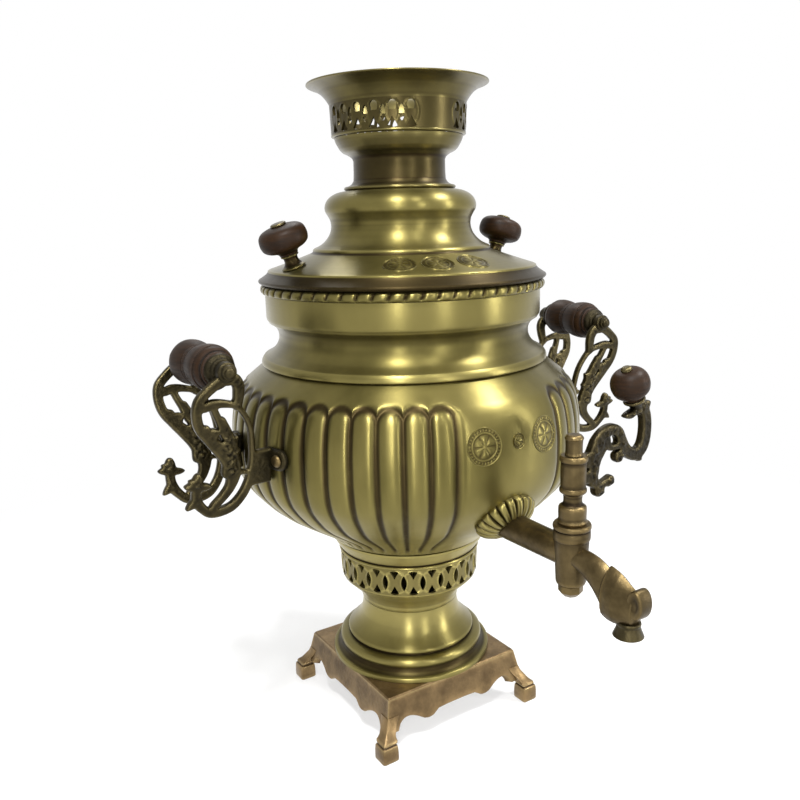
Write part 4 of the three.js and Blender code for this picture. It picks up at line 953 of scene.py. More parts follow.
def cellWall(facts, radiusAt, liftAt, holesOf):
    # a pierced wall built cell by cell round the axis
    low, high, wall = (facts[k] for k in ("low", "high", "wall"))
    pitch = 2 * math.pi / facts["cells"]
    made, whole = {}, Shape([], [])
    for k in range(facts["cells"]):
        holes, kind = holesOf(k)
        if kind not in made:
            middle = radiusAt((low + high) / 2)
            half = pitch * middle / 2
            sides = 8
            edge = [(half, low + (high - low) * i / sides) for i in range(sides + 1)]
            foot = [(-half + 2 * half * i / 10, low) for i in range(10)]
            top = [(half - 2 * half * i / 10, high) for i in range(1, 10)]
            loop = foot + edge + top + [(-a, b) for a, b in edge[::-1]]
            runs = []
            for run in joinedRims([loop], holes):
                apart = max(abs(x) for x, _ in run) < half - 1e-3
                runs.append(evenRun(run, 0.5, 1) if apart else np.array(run))
            flat, faces, rims, gaps = netOf(runs, facts["spacing"], (0.45,))
            seam = [abs(abs(x) - half) < 1e-3 for x, _ in flat]
            lift = [liftAt(x, z, kind) for x, z in flat]

            def front(p, i, middle=middle, lift=lift):
                return around(p[0] / middle, radiusAt(p[1]) + lift[i], p[1])

            def back(p, i, middle=middle):
                return around(p[0] / middle, radiusAt(p[1]) - wall, p[1])

            freeRims = [(a, b) for a, b in rims if not (seam[a] and seam[b])]
            points, solid = thicken(flat, faces, freeRims, front, back)
            dark = [0.45 * max(0, 0.35 - a) / 0.35 for a in lift] + [0.6] * len(flat)
            made[kind] = Shape(points, solid, dark)
        whole += made[kind].moved(turn(math.degrees(pitch * k), "Z"))
    return whole


def galleryPattern(facts):
    pitch = 2 * math.pi * facts["radius"] / facts["cells"]

    def radiusAt(z):
        levels = [106, 108, 112, 118, 124, 128, 130]
        return float(np.interp(z, levels, [52.2, 52.7, 52.9, 53.1, 53.3, 53.5, 53.6]))

    def liftAt(x, z, kind):
        best = 0
        for centre in (-pitch, 0, pitch):
            gap = abs(math.hypot(x - centre, z - facts["middle"]) - facts["ringRadius"])
            best = max(best, 1 - max(gap - 0.35 * facts["stroke"], 0) / (0.75 * facts["stroke"]))
        return facts["raise"] * best

    def holesOf(k):
        mid, foot, rise = facts["middle"], facts["wedgeFoot"], facts["wedgeRise"]
        holes = [lensLoop(s * pitch / 2, mid, facts["lensHalf"], facts["lensRise"]) for s in (-1, 1)]
        for base, tip in ((mid - foot, mid - foot + rise), (mid + foot, mid + foot - rise)):
            holes.append(wedgeLoop(0, base, tip, facts["wedgeHalf"]))
        return holes, "all"

    return cellWall(facts, radiusAt, liftAt, holesOf)


galleryFlare = outlineOf([
    (37.5, 86.3), (38.2, 88), (38.8, 90.6), (40.5, 94), (43.4, 97.7), (47.5, 101.6), (51.0, 105.2),
    (52.4, 106.6), (52.6, 107.5),
])
galleryCrest = outlineOf(
    [(53.4, 128.5), (54.3, 128.8), (54.9, 129.6), (54.5, 130.5), (53.7, 131)],
    [(54.6, 132.4), (56.0, 134.4), (57.2, 136.4), (58.4, 138.6), (59.4, 140.4)], [(59.5, 142)],
)
galleryShape = (
    lathe(shell(galleryFlare)) + galleryPattern(galleryFacts)
    + lathe(galleryCrest + [(46, 142), (46, 139.5), (51.4, 136), (51.4, 128.5)])
)
addPiece("gallery_skin", galleryShape, brass, "stand", ["vent_gallery"])
print("pedestal, gallery and collar made")

# ---- stand

standFacts = {
    "height": 41.7, "topHalf": 58.5, "floorHalf": 68.0, "wall": 4.5, "ankle": 16.5, "hoofOut": 65.5,
    "lip": 1.2,
}
apronRuns = [
    [(0, 21.2), (10, 21.1), (17, 20.7)], [(19.6, 19.2), (22.4, 17.6), (26.5, 17.1), (30.4, 17.9)],
    [(31.6, 18.6), (36, 21.4), (41.5, 23.7), (46.5, 23.9), (50.2, 22.0), (52.6, 19.0), (53.6, 16.5)],
]


def standHalf(z):
    low, top = standFacts["floorHalf"], standFacts["topHalf"]
    share = 1 - z / standFacts["height"]
    return top + (low - top) * (0.85 * share + 0.15 * share ** 2)


def squareLoop(half, z, x=0.0, y=0.0, corner=0.8):
    loop = []
    for k in range(4):
        swing = math.pi / 2 * k
        for step in (0, 0.5, 1):
            turned = swing + step * math.pi / 2
            cx = (half - corner) * (1 if k in (0, 3) else -1)
            cy = (half - corner) * (1 if k in (0, 1) else -1)
            loop.append((x + cx + corner * math.cos(turned), y + cy + corner * math.sin(turned), z))
    return loop


def standPanel(facts):
    # one side wall with its scalloped apron and half of two legs
    edge = [p for run in apronRuns for p in curveThrough(run, 4)]
    ankle, top = facts["ankle"], facts["height"] - facts["lip"]
    corner = [(standHalf(z), z) for z in np.linspace(ankle, top, 10)]
    right = edge + [(57, ankle), (61, ankle)] + corner + [(x, top) for x in np.linspace(50, 0, 8)]
    loop = right + [(-x, z) for x, z in right[::-1] if abs(x) > 1e-6]
    flat, faces, rims, gaps = netOf([np.array(loop)], 2.4, (0.8,))

    def skin(inset):
        def place(p, i):
            wide = standHalf(p[1])
            out = wide - inset
            edged = inset == 0 and p[1] < 36 and abs(p[0]) < wide - 1
            soften = 0.5 * max(0, 1 - gaps[i] / 0.8) if edged else 0
            return (p[0] * out / wide, -(out - soften), p[1])
        return place

    points, solid = thicken(flat, faces, rims, skin(0), skin(facts["wall"]))
    dark = []
    for (x, z), gap in zip(flat, gaps):
        worn = max(0, 1 - gap / 1.3) if z > 36 or abs(x) > 54 else 0.6 * max(0, 1 - gap / 1.0)
        dark.append(0.35 * min(1, gap / 5) - 0.9 * worn)
    return Shape(points, solid, dark + [0.7] * len(flat))


# the hoof as [level, half width, wear], from the sole up
hoofRows = [
    (0, 6.1, 0.3), (0.7, 6.6, -0.6), (3.4, 6.7, 0), (7.5, 6.6, 0), (10.6, 6.4, -0.2), (11.6, 6.1, -0.7),
    (12.2, 5.3, 0.8), (12.9, 5.2, 0.8), (13.6, 5.9, -0.5), (14.7, 6.0, -0.7), (15.6, 5.4, 0.2),
    (17.5, 4.7, 0.2), (20.5, 4.7, 0), (24, 5.0, 0), (28, 5.2, 0),
]


def hoofShape(facts):
    loops, dark = [], []
    for z, half, shade in hoofRows:
        share = min(max((z - 12) / 14, 0), 1)
        out = facts["hoofOut"] - 8.9 * share ** 1.3
        loops.append(squareLoop(half, z, out, out, 1.6))
        dark += [shade] * len(loops[-1])
    return loft(loops, hollowAndShade=dark)


def standShape(facts):
    top, half, lip = facts["height"], facts["topHalf"], facts["lip"]
    rows = [  # half width and level of the plate, from below
        (standHalf(top - 4) - 2, top - 4.2), (standHalf(top - lip) - 0.02, top - 4),
        (standHalf(top - lip) - 0.01, top - lip), (half + 0.02, top - 0.7), (half - 0.6, top),
    ]
    whole = loft([squareLoop(*row) for row in rows])
    panel, hoof = standPanel(facts), hoofShape(facts)
    for k in range(4):
        whole = whole + panel.moved(turn(90 * k, "Z")) + hoof.moved(turn(90 * k, "Z"))
    return whole


addPiece("stand_casting", standShape(standFacts), bronze, "stand", ["base_stand"], sharp=32)
print("stand made")

# ---- lid and its knobs

lidLine = outlineOf(
    [(99.6, 334.8), (102.6, 335.4)], [(103.8, 336.2), (104.2, 337.1), (103.8, 338.0), (102.6, 338.8)],
    [(100.2, 340.4), (98.2, 342.0), (97.1, 343.4)], [(96.9, 344.3), (95.8, 344.9)],
    [(86, 348.1), (75, 351.9), (65.2, 355.5)], [(64.3, 356.3), (64.1, 357.6), (63.2, 358.6), (61.8, 359.2)],
    [(58.2, 361.0), (55.0, 363.7), (52.2, 367.3), (50.6, 371.3), (50.2, 374.4)],
    [(50.8, 378.0), (52.5, 381.4)],
    [(54.0, 384.0), (54.4, 387.0), (53.4, 390.6), (50.6, 394.0), (46.0, 396.6), (41.2, 397.8), (37, 398.2)],
)
lidInner = [
    (34.5, 398.2), (34.5, 396.2), (39.5, 396), (46, 394), (50.6, 389.5), (52, 386), (50, 381), (48.3, 375),
    (50, 367), (54, 360.6), (62, 354.6), (93.4, 343.4), (93.5, 329.8), (95.5, 329.8), (95.5, 334.8),
]
# painted shade: the band under the cone's edge, from 334 to 343.2 mm up and beyond 95 mm out, is made fully
# dark
lidShape = lathe(lidLine + lidInner).shaded(1.0, 334, 343.2, 95)
addPiece("lid_skin", lidShape, brass, "lid", ["lid_shell"])
coneRadii, coneLevels = [65.2, 75, 86, 95.8], [355.5, 351.9, 348.1, 344.9]


def addLidStamps(facts):
    for number, side in enumerate(facts["lidTurns"], 1):
        def place(across, up, lift, side=side):
            r = facts["lidRing"] - up * facts["lidSlope"]
            angle = math.radians(side) + across / facts["lidRing"]
            return around(angle, r, float(np.interp(r, coneRadii, coneLevels)) + lift)
        stamp = stampShape(facts["lidRadius"], place, facts["petals"], facts["lidBeads"])
        addPiece(f"lid_rosette_{number}", stamp, brass, "lid", sharp=70)


addLidStamps(stampFacts)

knobFacts = {"ring": 86.4, "tilt": 19.4}
lidKnobLine = outlineOf(
    [(2.3, 9.7), (6.3, 9.7)],
    [(6.7, 10.9), (8.8, 12.3), (12.6, 13.6), (15.4, 15.7), (16.5, 18.8), (16.5, 21.8), (15.7, 25),
        (13.4, 27.4), (9.0, 28.8), (5.6, 29.3)],
    [(2.3, 29.3)],
)
ferruleLine = outlineOf(
    [(2.3, 0.3), (8.2, 0.3)], [(8.4, 1.0), (7.6, 1.7), (6.1, 2.7), (5.1, 4.4), (4.8, 6.4), (5.0, 7.9)],
    [(6.1, 8.3), (6.2, 9.0), (5.8, 9.4)], [(2.3, 9.4)],
)
screwLine = outlineOf(
    [(0, 29.6), (2, 29.6)], [(5.0, 29.5)], [(5.4, 30.1), (5.0, 30.9), (3.2, 31.3), (0.0, 31.4)],
)
knobLevel = float(np.interp(knobFacts["ring"], [64, 95.8], [356, 344.8]))
for hand, side in (("right", 0), ("left", 180)):
    place = turn(side, "Z") @ shift(knobFacts["ring"], 0, knobLevel) @ turn(knobFacts["tilt"], "Y")
    addPiece(f"lid_knob_wood_{hand}", lathe(lidKnobLine, 72).moved(place), wood, "lid", [f"lid_knob_{hand}"])
    ferrule = lathe(ferruleLine, 64).moved(place)
    addPiece(f"lid_ferrule_brass_{hand}", ferrule, neckBrass, "lid", [f"lid_ferrule_{hand}"])
    shank = lathe([(0, -8), (2, -8), (2, 29.6), (0, 29.6)], 24) + lathe(screwLine, 48)
    addPiece(f"lid_screw_brass_{hand}", shank.moved(place), darkBronze, "lid", [f"lid_screw_{hand}"])
    keepNode(f"lid_nut_{hand}", bronze)
print("lid made")

# ---- crown

socketLine = outlineOf(
    [(33, 398.5), (39.2, 398.5)], [(39.9, 399.2), (39.7, 400.3), (38.8, 400.9)],
    [(37.2, 401.2), (34.6, 402.6), (33.0, 405)], [(32.7, 410), (32.6, 418.2)],
    [(33.4, 420.2), (36.2, 422.4), (39.8, 424.2), (41.9, 426.2)], [(43.2, 428.4), (44.6, 431), (45.5, 433.9)],
)
socketInner = [(43.8, 433.9), (42, 430), (39.5, 427), (35, 424), (31, 421), (30.6, 418), (30.6, 398.5)]
# the neck between 401.5 and 420.5 mm up is made darker
socketShape = lathe(socketLine + socketInner).shaded(0.7, 401.5, 420.5)
addPiece("crown_socket_skin", socketShape, neckBrass, "crown", ["crown_socket"])

crownFacts = {
    "cells": 24, "low": 436.0, "high": 455.0, "wall": 1.7, "radius": 47.5, "spacing": 0.9,
    "perPanel": 8, "plain": 2, "raise": 0.35, "squash": 0.62,
    "ringLevel": 446, "ringRadius": 4.6, "ringWidth": 0.9,
    "wedge": (437.2, 443.6, 3.7), "arch": (447.4, 453.5, 2.8), "point": (444.7, 451.2, 2.0),
    "chip": [(-1.9, 443.2), (0, 443.4), (1.9, 443.2), (0.4, 440.2), (-0.4, 440.2)],
}


def crownPattern(facts):
    pitch = 2 * math.pi * facts["radius"] / facts["cells"]

    def radiusAt(z):
        levels = [434, 436, 438, 444, 450, 456]
        return float(np.interp(z, levels, [46.9, 47.3, 47.4, 47.6, 47.8, 48.1]))

    def liftAt(x, z, kind):
        rise = 0
        for centre, found in zip((-pitch / 2, pitch / 2), kind):
            away = math.hypot(x - centre, (z - facts["ringLevel"]) * facts["squash"])
            gap = abs(away - facts["ringRadius"])
            rise = max(rise, 1 - gap / facts["ringWidth"]) if found else rise
        return facts["raise"] * rise

    def pierced(k):
        # openings sit at half cells, six together and then a plain panel
        return (k - 2) % facts["perPanel"] < facts["perPanel"] - facts["plain"]

    def holesOf(k):
        # each cell runs from one upright triangle's middle to the next
        kind = (pierced(k), pierced(k + 1))
        holes = []
        for x in [side * pitch / 2 for side, found in zip((-1, 1), kind) if found]:
            holes += [wedgeLoop(x, *facts["wedge"]), archLoop(x, *facts["arch"])]
        if all(kind):
            holes += [facts["chip"], pointLoop(0, *facts["point"])]
        return holes, kind

    return cellWall(facts, radiusAt, liftAt, holesOf)


def archLoop(x, low, high, half):
    spring = high - half
    top = [(x + half * math.cos(a), spring + half * math.sin(a)) for a in np.linspace(0, math.pi, 8)]
    return [(x - half * 0.8, low), (x + half * 0.8, low)] + top


def pointLoop(x, low, high, half):
    right = [(half, 0.0), (half * 0.95, 0.35), (half * 0.6, 0.72), (0, 1.0)]
    side = [(x + a, low + (high - low) * b) for a, b in right]
    return [(x - half, low)] + side + [(2 * x - a, b) for a, b in side[-2:0:-1]]


crownBead = outlineOf(
    [(45.4, 434.2), (46.2, 434.3)], [(47.1, 434.6), (47.5, 435.2), (47.1, 436.1)],
) + [(45.6, 436.1), (44.2, 434.2)]
crownFlare = outlineOf(
    [(47.9, 455.0), (48.3, 456.4), (49.6, 458.6), (51.2, 460.8), (52.6, 462.4)],
    [(54.0, 463.8), (57.0, 465.8), (60.4, 467.4), (62.6, 468.2)], [(63.6, 468.7), (63.5, 469.4)],
)
crownInner = [(62.4, 469.4), (60.2, 468.9), (56.0, 467.2), (52.6, 464.8), (50.0, 461.8), (47.4, 458.0),
    (46.2, 455.0)]
crownShape = lathe(crownBead) + crownPattern(crownFacts) + lathe(crownFlare + crownInner)
addPiece("crown_gallery_skin", crownShape, neckBrass, "crown", ["crown_gallery"])
print("crown made")

# ---- tap

tapFacts = {"out": 177.5, "pipe": 181.7, "mouth": 45}
tapPlace = shift(0, -tapFacts["out"], 0)

barrelLine = outlineOf(
    [(0, 163.8), (8.6, 163.8)], [(9.0, 165), (9.2, 167.6), (10.3, 191.6)],
    [(10.8, 192.0), (10.8, 197.6), (10.4, 198.2)], [(11.2, 198.8), (11.3, 200.6), (10.8, 201.6)],
    [(0, 201.6)],
)

# the horn and its heart-shaped nose as runs of [distance from the barrel's axis, top, foot, half width]
hornRows = [
    [(4.0, 188.4, 177.8, 7.3), (10, 188.5, 176.4, 7.2), (16, 188.3, 173.4, 7.0), (21, 187.6, 169.8, 6.9),
        (26, 185.9, 164.6, 7.0), (29.8, 183.7, 159.8, 7.1)],
    [(30.0, 184.8, 158.4, 7.9)], [(30.8, 185.8, 156.6, 8.8)],
    [(32.2, 185.9, 155.4, 8.6), (35, 185.2, 155.0, 8.9), (38.6, 183.8, 155.0, 8.9)],
    [(42.0, 181.8, 155.4, 7.9), (46.0, 179.4, 156.4, 6.6), (49.6, 177.8, 158.0, 5.8)],
    [(50.2, 176.6, 159.2, 5.0)],
]
hornSection = [  # [share of the half width, share of the height], from the ridge down one side
    (0, 1), (0.2, 0.955), (0.45, 0.875), (0.7, 0.76), (0.88, 0.63), (0.97, 0.49), (1, 0.35), (0.96, 0.21),
    (0.84, 0.09), (0.6, 0.02), (0.3, 0), (0, 0),
]


def spoutShape():
    loops, dark = [], []
    for out, top, foot, half in outlineOf(*hornRows):
        side = [(half * a, -out, foot + (top - foot) * b) for a, b in hornSection]
        loops.append(side + [(-x, y, z) for x, y, z in side[-2:0:-1]])
        border = math.exp(-((out - 30.9) / 0.5) ** 2) - 1.2 * math.exp(-((out - 29.7) / 0.5) ** 2)
        for i in range(len(loops[-1])):
            ridge = math.exp(-((i if i < 11 else 22 - i) / 1.1) ** 2)
            dark.append(min(max(-0.9 * border - 0.75 * ridge, -1), 1))
    return loft(loops, hollowAndShade=dark)


curlFacts = {"steps": 72, "out": 51.8, "level": 171.0, "across": 0.72, "up": 1.25}
curlRows = [  # reach from the roll's middle, half width, wear
    (0, 4.2, 0), (1.4, 4.2, 0.2), (2.4, 4.3, 0.4), (2.9, 4.4, 0.4), (3.8, 4.8, 0), (5.2, 5.0, -0.4),
    (6.3, 4.9, -0.8), (6.8, 4.3, -0.7), (7.0, 3.4, 0),
]


def curlShape(facts):
    # the scroll's end: an upright oval roll across the nose, with a shallow ring on each face
    loops, dark = [], []
    swings = [2 * math.pi * i / facts["steps"] for i in range(facts["steps"])]
    for side, rows in ((-1, curlRows), (1, curlRows[::-1])):
        for reach, half, shade in rows:
            wide, tall = facts["across"] * reach, reach * facts["up"]
            loops.append([
                (side * half, -facts["out"] - wide * math.cos(a), facts["level"] + tall * math.sin(a))
                for a in swings
            ])
            dark += [shade] * facts["steps"]
    return loft(loops, capped=False, hollowAndShade=dark)


pipeLine = [(0, -66), (9.3, -66), (9.3, -50), (9.0, -20), (8.8, -4), (0, -4)]
pipe = alongY(lathe(pipeLine, 48)).moved(shift(0, 0, tapFacts["pipe"]))
tapShape = lathe(barrelLine, 72) + pipe + spoutShape() + curlShape(curlFacts)
addPiece("tap_casting", tapShape.moved(tapPlace), tapBronze, "stand", ["tap_body"], sharp=33)

nozzleLine = outlineOf(
    [(4.0, 158.1), (6.6, 158.1)], [(6.9, 157.0), (6.6, 155.8)], [(7.0, 154.0), (7.9, 151.6), (8.7, 149.6)],
    [(8.2, 149.5), (7.4, 149.6)], [(5.4, 153.4), (4.0, 155.4)],
)
nozzleShape = lathe(nozzleLine, 64).toned(lambda dark: 0.25)
nozzlePlace = shift(0, -(tapFacts["out"] + tapFacts["mouth"]), 0)
addPiece("nozzle_ring", nozzleShape.moved(nozzlePlace), darkBronze, "stand", ["spout_nozzle"])

rosetteFacts = {
    "radius": 21.8, "ribs": 20, "ribSteps": 12, "cut": 0.08, "fall": 1.9, "tilt": 40.0, "level": 186.4,
    "lift": 0.4,
}
rosetteRows = [  # share of the radius, rise
    (0.38, 6.6), (0.43, 8.2), (0.5, 8.6), (0.6, 8.1), (0.71, 7.0), (0.82, 5.4), (0.91, 3.6), (0.97, 1.9),
    (1.0, 0.5), (0.99, -0.8), (0.93, -3.0), (0.8, -7.0),
]


def rosetteShape(facts):
    steps = facts["ribs"] * facts["ribSteps"]
    points, hollowAndShade = [], []
    for share, rise in rosetteRows:
        for i in range(steps):
            angle = 2 * math.pi * i / steps
            wave = abs(math.cos(facts["ribs"] / 2 * angle))
            amount = min(max((share - 0.36) / 0.4, 0), 1)
            r = facts["radius"] * share * (1 - facts["cut"] * (1 - wave) ** 2 * amount)
            z = rise - facts["fall"] * (1 - wave) ** 1.5 * amount
            points.append(around(angle, r, z + facts["lift"]))
            groove = max(0, 1 - wave * 1.5) * 1.5 * amount
            # the rib grooves take patina; the inner rows next to the pipe are made darker as painted shade
            # where the pipe meets the rosette
            hollowAndShade.append(min(0.85, groove + max(0, 0.52 - share) * 9 + 0.1))
    last = (len(rosetteRows) - 1) * steps
    caps = [tuple(range(steps)), tuple(range(last, last + steps))[::-1]]
    faces = gridFaces(len(rosetteRows), steps) + caps
    disk = Shape(points, faces, hollowAndShade).moved(turn(90 + facts["tilt"], "X"))
    return disk.moved(shift(0, -wallRadius(facts["level"]), facts["level"]))


addPiece("rosette_shell", rosetteShape(rosetteFacts), brass, "stand", ["tap_rosette"], sharp=60)

keyLine = outlineOf(
    [(0, 160), (5.4, 160)], [(5.4, 163.8)], [(6.8, 201.9)], [(8.5, 201.9)], [(8.8, 203.2), (8.2, 204.4)],
    [(8.3, 210.2), (8.0, 212.2), (6.6, 213.2)], [(5.7, 214.4), (5.5, 217.4), (5.9, 219.4), (6.6, 220.3)],
    [(0, 220.3)],
)
addPiece("key_plug", lathe(keyLine, 64).moved(tapPlace), tapBronze, "key", ["tap_key"])
capLine = outlineOf(
    [(3.7, 243.5), (5.2, 243.5)], [(5.0, 244.6), (4.9, 249), (5.1, 252.6)], [(5.5, 253.2), (5.3, 254.2)],
    [(4.2, 255.4), (2.2, 255.8), (0, 255.8)],
)
addPiece("key_cap_turned", lathe([(0, 243.5)] + capLine, 48).moved(tapPlace), tapBronze, "key", ["key_cap"])
nutLine = [(0, 155.5), (4.4, 155.5), (7.4, 158.4), (7.4, 162.6), (6.6, 163.5), (0, 163.5)]
addPiece("key_nut_faceted", lathe(nutLine, 8).moved(tapPlace), tapBronze, "key", ["key_nut"], sharp=25)

leverFacts = {"thickness": 6.2, "edge": 2.6, "spacing": 0.8, "knobTilt": -22}
leverBands = [
    ([(14.2, 224.5), (15.0, 232), (15.6, 241), (18.6, 247.6)], [7.6, 9.0, 9.8, 9.6]),
    ([
        (17.5, 246.0), (21.6, 251.0), (28.6, 253.8), (35.0, 251.4), (38.2, 245.6), (41.6, 239.8),
        (47.0, 235.6), (52.8, 234.6), (57.6, 238.8), (59.6, 246), (59.6, 254), (57.8, 260.5),
        (53.6, 264.8),
    ], [9.0, 8.0, 7.0, 7.2, 7.6, 7.8, 7.8, 8.2, 8.4, 8.2, 8.0, 7.8, 7.6]),
    ([(16, 237), (20.4, 243), (25.2, 247.4)], [9.0, 8.6, 7.0]),
    ([(24.4, 246.8), (27.6, 243.4), (33.4, 242.4), (38, 243.2)], [7.6, 4.6, 4.2, 5.0]),
    ([(14.4, 226), (17.6, 222), (19.8, 218.4)], [7.0, 6.2, 6.4]),
    ([(20.6, 219.4), (25, 221.6), (29.2, 222.4)], [5.4, 4.2, 5.2]),
    ([(39.2, 240.0), (37.4, 238.0), (36.2, 235.8)], [4.6, 4.4, 5.0]),
    ([(45.8, 260.4), (52.0, 262.4), (59.4, 265.0)], [4.4, 5.4, 4.6]),
]
leverBalls = [(20.1, 217.9, 4.4), (29.6, 222.5, 3.1), (36.0, 235.8, 3.9), (9.0, 228, 4.0), (9.5, 238, 4.6)]
leverPetals = [((24, 220.4), (32.8, 220.6), 2.2), ((49.6, 260.6), (39.8, 259.4), 2.5),
    ((50.0, 233.8), (56.8, 229.6), 2.4), ((56.6, 262), (62.4, 266.8), 2.6)]
leverLumps = [
    (14.5, 228, 3.0, 0.8), (16, 235, 3.2, 1.0), (14.2, 242.6, 3.2, 1.0), (19.6, 247.6, 3.0, 0.9),
    (24.6, 252.0, 2.6, 0.7), (30.4, 253.6, 2.6, 0.8), (36.6, 249.8, 2.6, 0.6), (38.6, 244, 2.4, 0.6),
    (20.1, 217.9, 3.2, 1.2), (29.6, 222.4, 2.6, 1.1), (36.0, 235.8, 2.9, 1.2), (47.6, 261.2, 2.6, 0.9),
    (56.0, 263.6, 2.6, 0.7),
]
knobTurn = shift(48.98, 0, 269.7) @ turn(leverFacts["knobTilt"], "Y")
postLine = outlineOf(
    [(0, -9), (3.4, -9)], [(3.9, -5), (5.4, -2.4)], [(6.6, -1.9), (6.8, -1.1), (6.4, -0.3)], [(0, -0.3)],
)


def leverShape(facts):
    solids = [roundLoop(x, z, r, 16) for x, z, r in leverBalls] + [petalLoop(*petal) for petal in leverPetals]
    for line, widths in leverBands:
        solids += bandLoops(line, widths)
    scroll = casting(solids, facts, leverLumps)
    return scroll + lathe(postLine, 32).moved(knobTurn)


addPiece("lever_casting", leverShape(leverFacts).moved(tapPlace), leverBronze, "key", ["key_lever"], sharp=50)
hubLine = outlineOf(
    [(0, 220.6), (7.2, 220.6)], [(7.9, 221.4), (7.9, 223.2), (7.3, 224)], [(7.5, 231.8), (7.4, 239.4)],
    [(8.1, 240.1), (8.1, 242.4), (7.3, 243.2)], [(0, 243.2)],
)
addPiece("lever_hub_turned", lathe(hubLine, 56).moved(tapPlace), tapBronze, "key")
knobPlace = tapPlace @ knobTurn
leverKnobLine = outlineOf(
    [(1.9, 0), (5.6, 0)],
    [(5.9, 1.2), (8.0, 2.4), (10.4, 4.6), (11.6, 8.0), (11.8, 10.6), (11.2, 13.8), (9.6, 16.6), (6.9, 18.7),
        (4.2, 19.4)],
    [(1.9, 19.4)],
)
addPiece("lever_knob_wood", lathe(leverKnobLine, 64).moved(knobPlace), wood, "key", ["key_knob"])
pinLine = outlineOf([(0, -5), (1.7, -5)], [(1.7, 19.7)], [(3.4, 19.7)], [(3.2, 20.8), (2.0, 21.7), (0, 22.0)])
addPiece("lever_pin_turned", lathe(pinLine, 40).moved(knobPlace), darkBronze, "key", ["knob_pin"])
print("tap made")

# ---- handles

handleFacts = {
    "turn": 5.0, "inner": 142.0, "reach": 46.0, "foot": 199.0, "rise": 94.0, "lean": 10.7, "pivot": 250.0,
    "spread": 26.1, "thickness": 5.4, "edge": 2.7, "spacing": 0.85, "boltOut": 161.0, "boltLevel": 292.6,
    "boltSpread": 34.15, "gripEnd": 30.65, "screwTurn": 13.8, "screwLevel": 230.0,
}
scrollShares = [
    (.40, .955), (.50, .945), (.67, .89), (.79, .83), (.82, .74), (.78, .65), (.67, .57), (.52, .49),
    (.35, .39), (.29, .29), (.33, .19), (.44, .12), (.58, .06),
]
scrollWidths = [6.6, 6.8, 6.2, 6.2, 6.2, 6.3, 6.5, 9.0, 12.2, 10.6, 7.0, 6.0, 5.5]
outerShares = [
    (.72, .785), (.60, .80), (.43, .79), (.26, .76), (.13, .68), (.05, .585), (.02, .46), (.01, .35),
    (.03, .25), (.08, .16), (.165, .09), (.30, .03), (.47, 0.01), (.64, .02), (.76, .08), (.82, .16),
    (.83, .24), (.80, .31),
]
outerWidths = [6.0, 6.0, 4.8, 3.8, 3.6, 3.6, 3.8, 4.2, 5.2, 6.0, 6.2, 6.4, 6.4, 6.2, 5.6, 5.0, 4.6, 4.2]


def bracketLine(shares, facts=handleFacts):
    return [(facts["inner"] + a * facts["reach"], facts["foot"] + b * facts["rise"]) for a, b in shares]


bracketPetals = [  # start, end, half width, early, blunt: the foot's three-lobed leaf, then smaller spurs
    ((179.2, 217.6), (179.2, 230.4), 3.5, 1.0, 0.45), ((179.4, 221.4), (188.3, 222.7), 2.6, 0.8, 0.7),
    ((180.2, 221.0), (169.6, 219.6), 2.5, 0.8, 0.7), ((178.4, 213.0), (187.4, 206.4), 2.9, 0.7, 0.8),
    ((181.0, 224.0), (185.4, 226.4), 1.6, 0.8, 0.8), ((156.6, 238), (150.8, 241.2), 2.4, 0.7, 0.8),
    ((157, 246), (152.6, 251.0), 2.4, 0.7, 0.8),
]
bracketLumps = [
    (157.4, 226.6, 3.6, 0.9), (158.6, 232.6, 3.8, 1.2), (156.6, 239.0, 3.6, 1.1), (160.4, 243.4, 3.4, 1.0),
    (158.4, 249.4, 3.2, 1.0), (162.6, 250.6, 3.0, 0.8), (160.4, 257, 2.6, 0.8), (179.2, 224.4, 3.2, 0.9),
    (180.2, 213.4, 2.8, 0.6), (153.6, 271.0, 2.8, 0.8), (154.6, 285.6, 3.0, 0.8), (168.4, 252.4, 2.8, 0.5),
]

bracketBands = [
    (bracketLine(scrollShares), scrollWidths), (bracketLine(outerShares), outerWidths),
    ([(160.5, 288.4), (156.2, 288.6), (152.9, 284.0), (152.6, 277.8), (153.3, 271.5)],
        [7.6, 7.6, 7.4, 7.0, 6.0]),
    ([(160.0, 226), (158.0, 233), (157.4, 241), (159.2, 251.0), (163.0, 263.4)], [7.0, 10.0, 10.6, 7.6, 3.4]),
    ([(161.0, 253.0), (164.8, 261.6), (168.2, 269.4), (169.8, 274.4)], [7.0, 4.8, 4.4, 4.4]),
    ([(156.5, 224.8), (150.6, 225.0), (144.8, 223.8)], [4.0, 3.2, 2.6]),
    ([(179.6, 223.0), (180.4, 215.6), (179.2, 209.4), (175.6, 204.6)], [5.6, 6.2, 6.6, 6.0]),
]
bracketFillers = [(153.4, 270.6, 3.0, 12), (169.0, 254.6, 4.0, 14), (174.0, 258.0, 3.4, 12)]


def bracketFlat(facts):
    solids = [loop for line, widths in bracketBands for loop in bandLoops(line, widths, 4)]
    solids += [petalLoop(*petal) for petal in bracketPetals] + [roundLoop(*row) for row in bracketFillers]
    lug = [(128.6, 213.4), (144.4, 213.4), (144.4, 237.6), (128.6, 237.6)]
    return casting(solids + [lug], facts, bracketLumps)


bracketCast = bracketFlat(handleFacts)
bossLine = outlineOf(
    [(0, -3.2), (5.2, -3.2)], [(6.1, -2.4), (6.3, 0), (6.1, 2.4), (5.2, 3.2)], [(0, 3.2)],
)


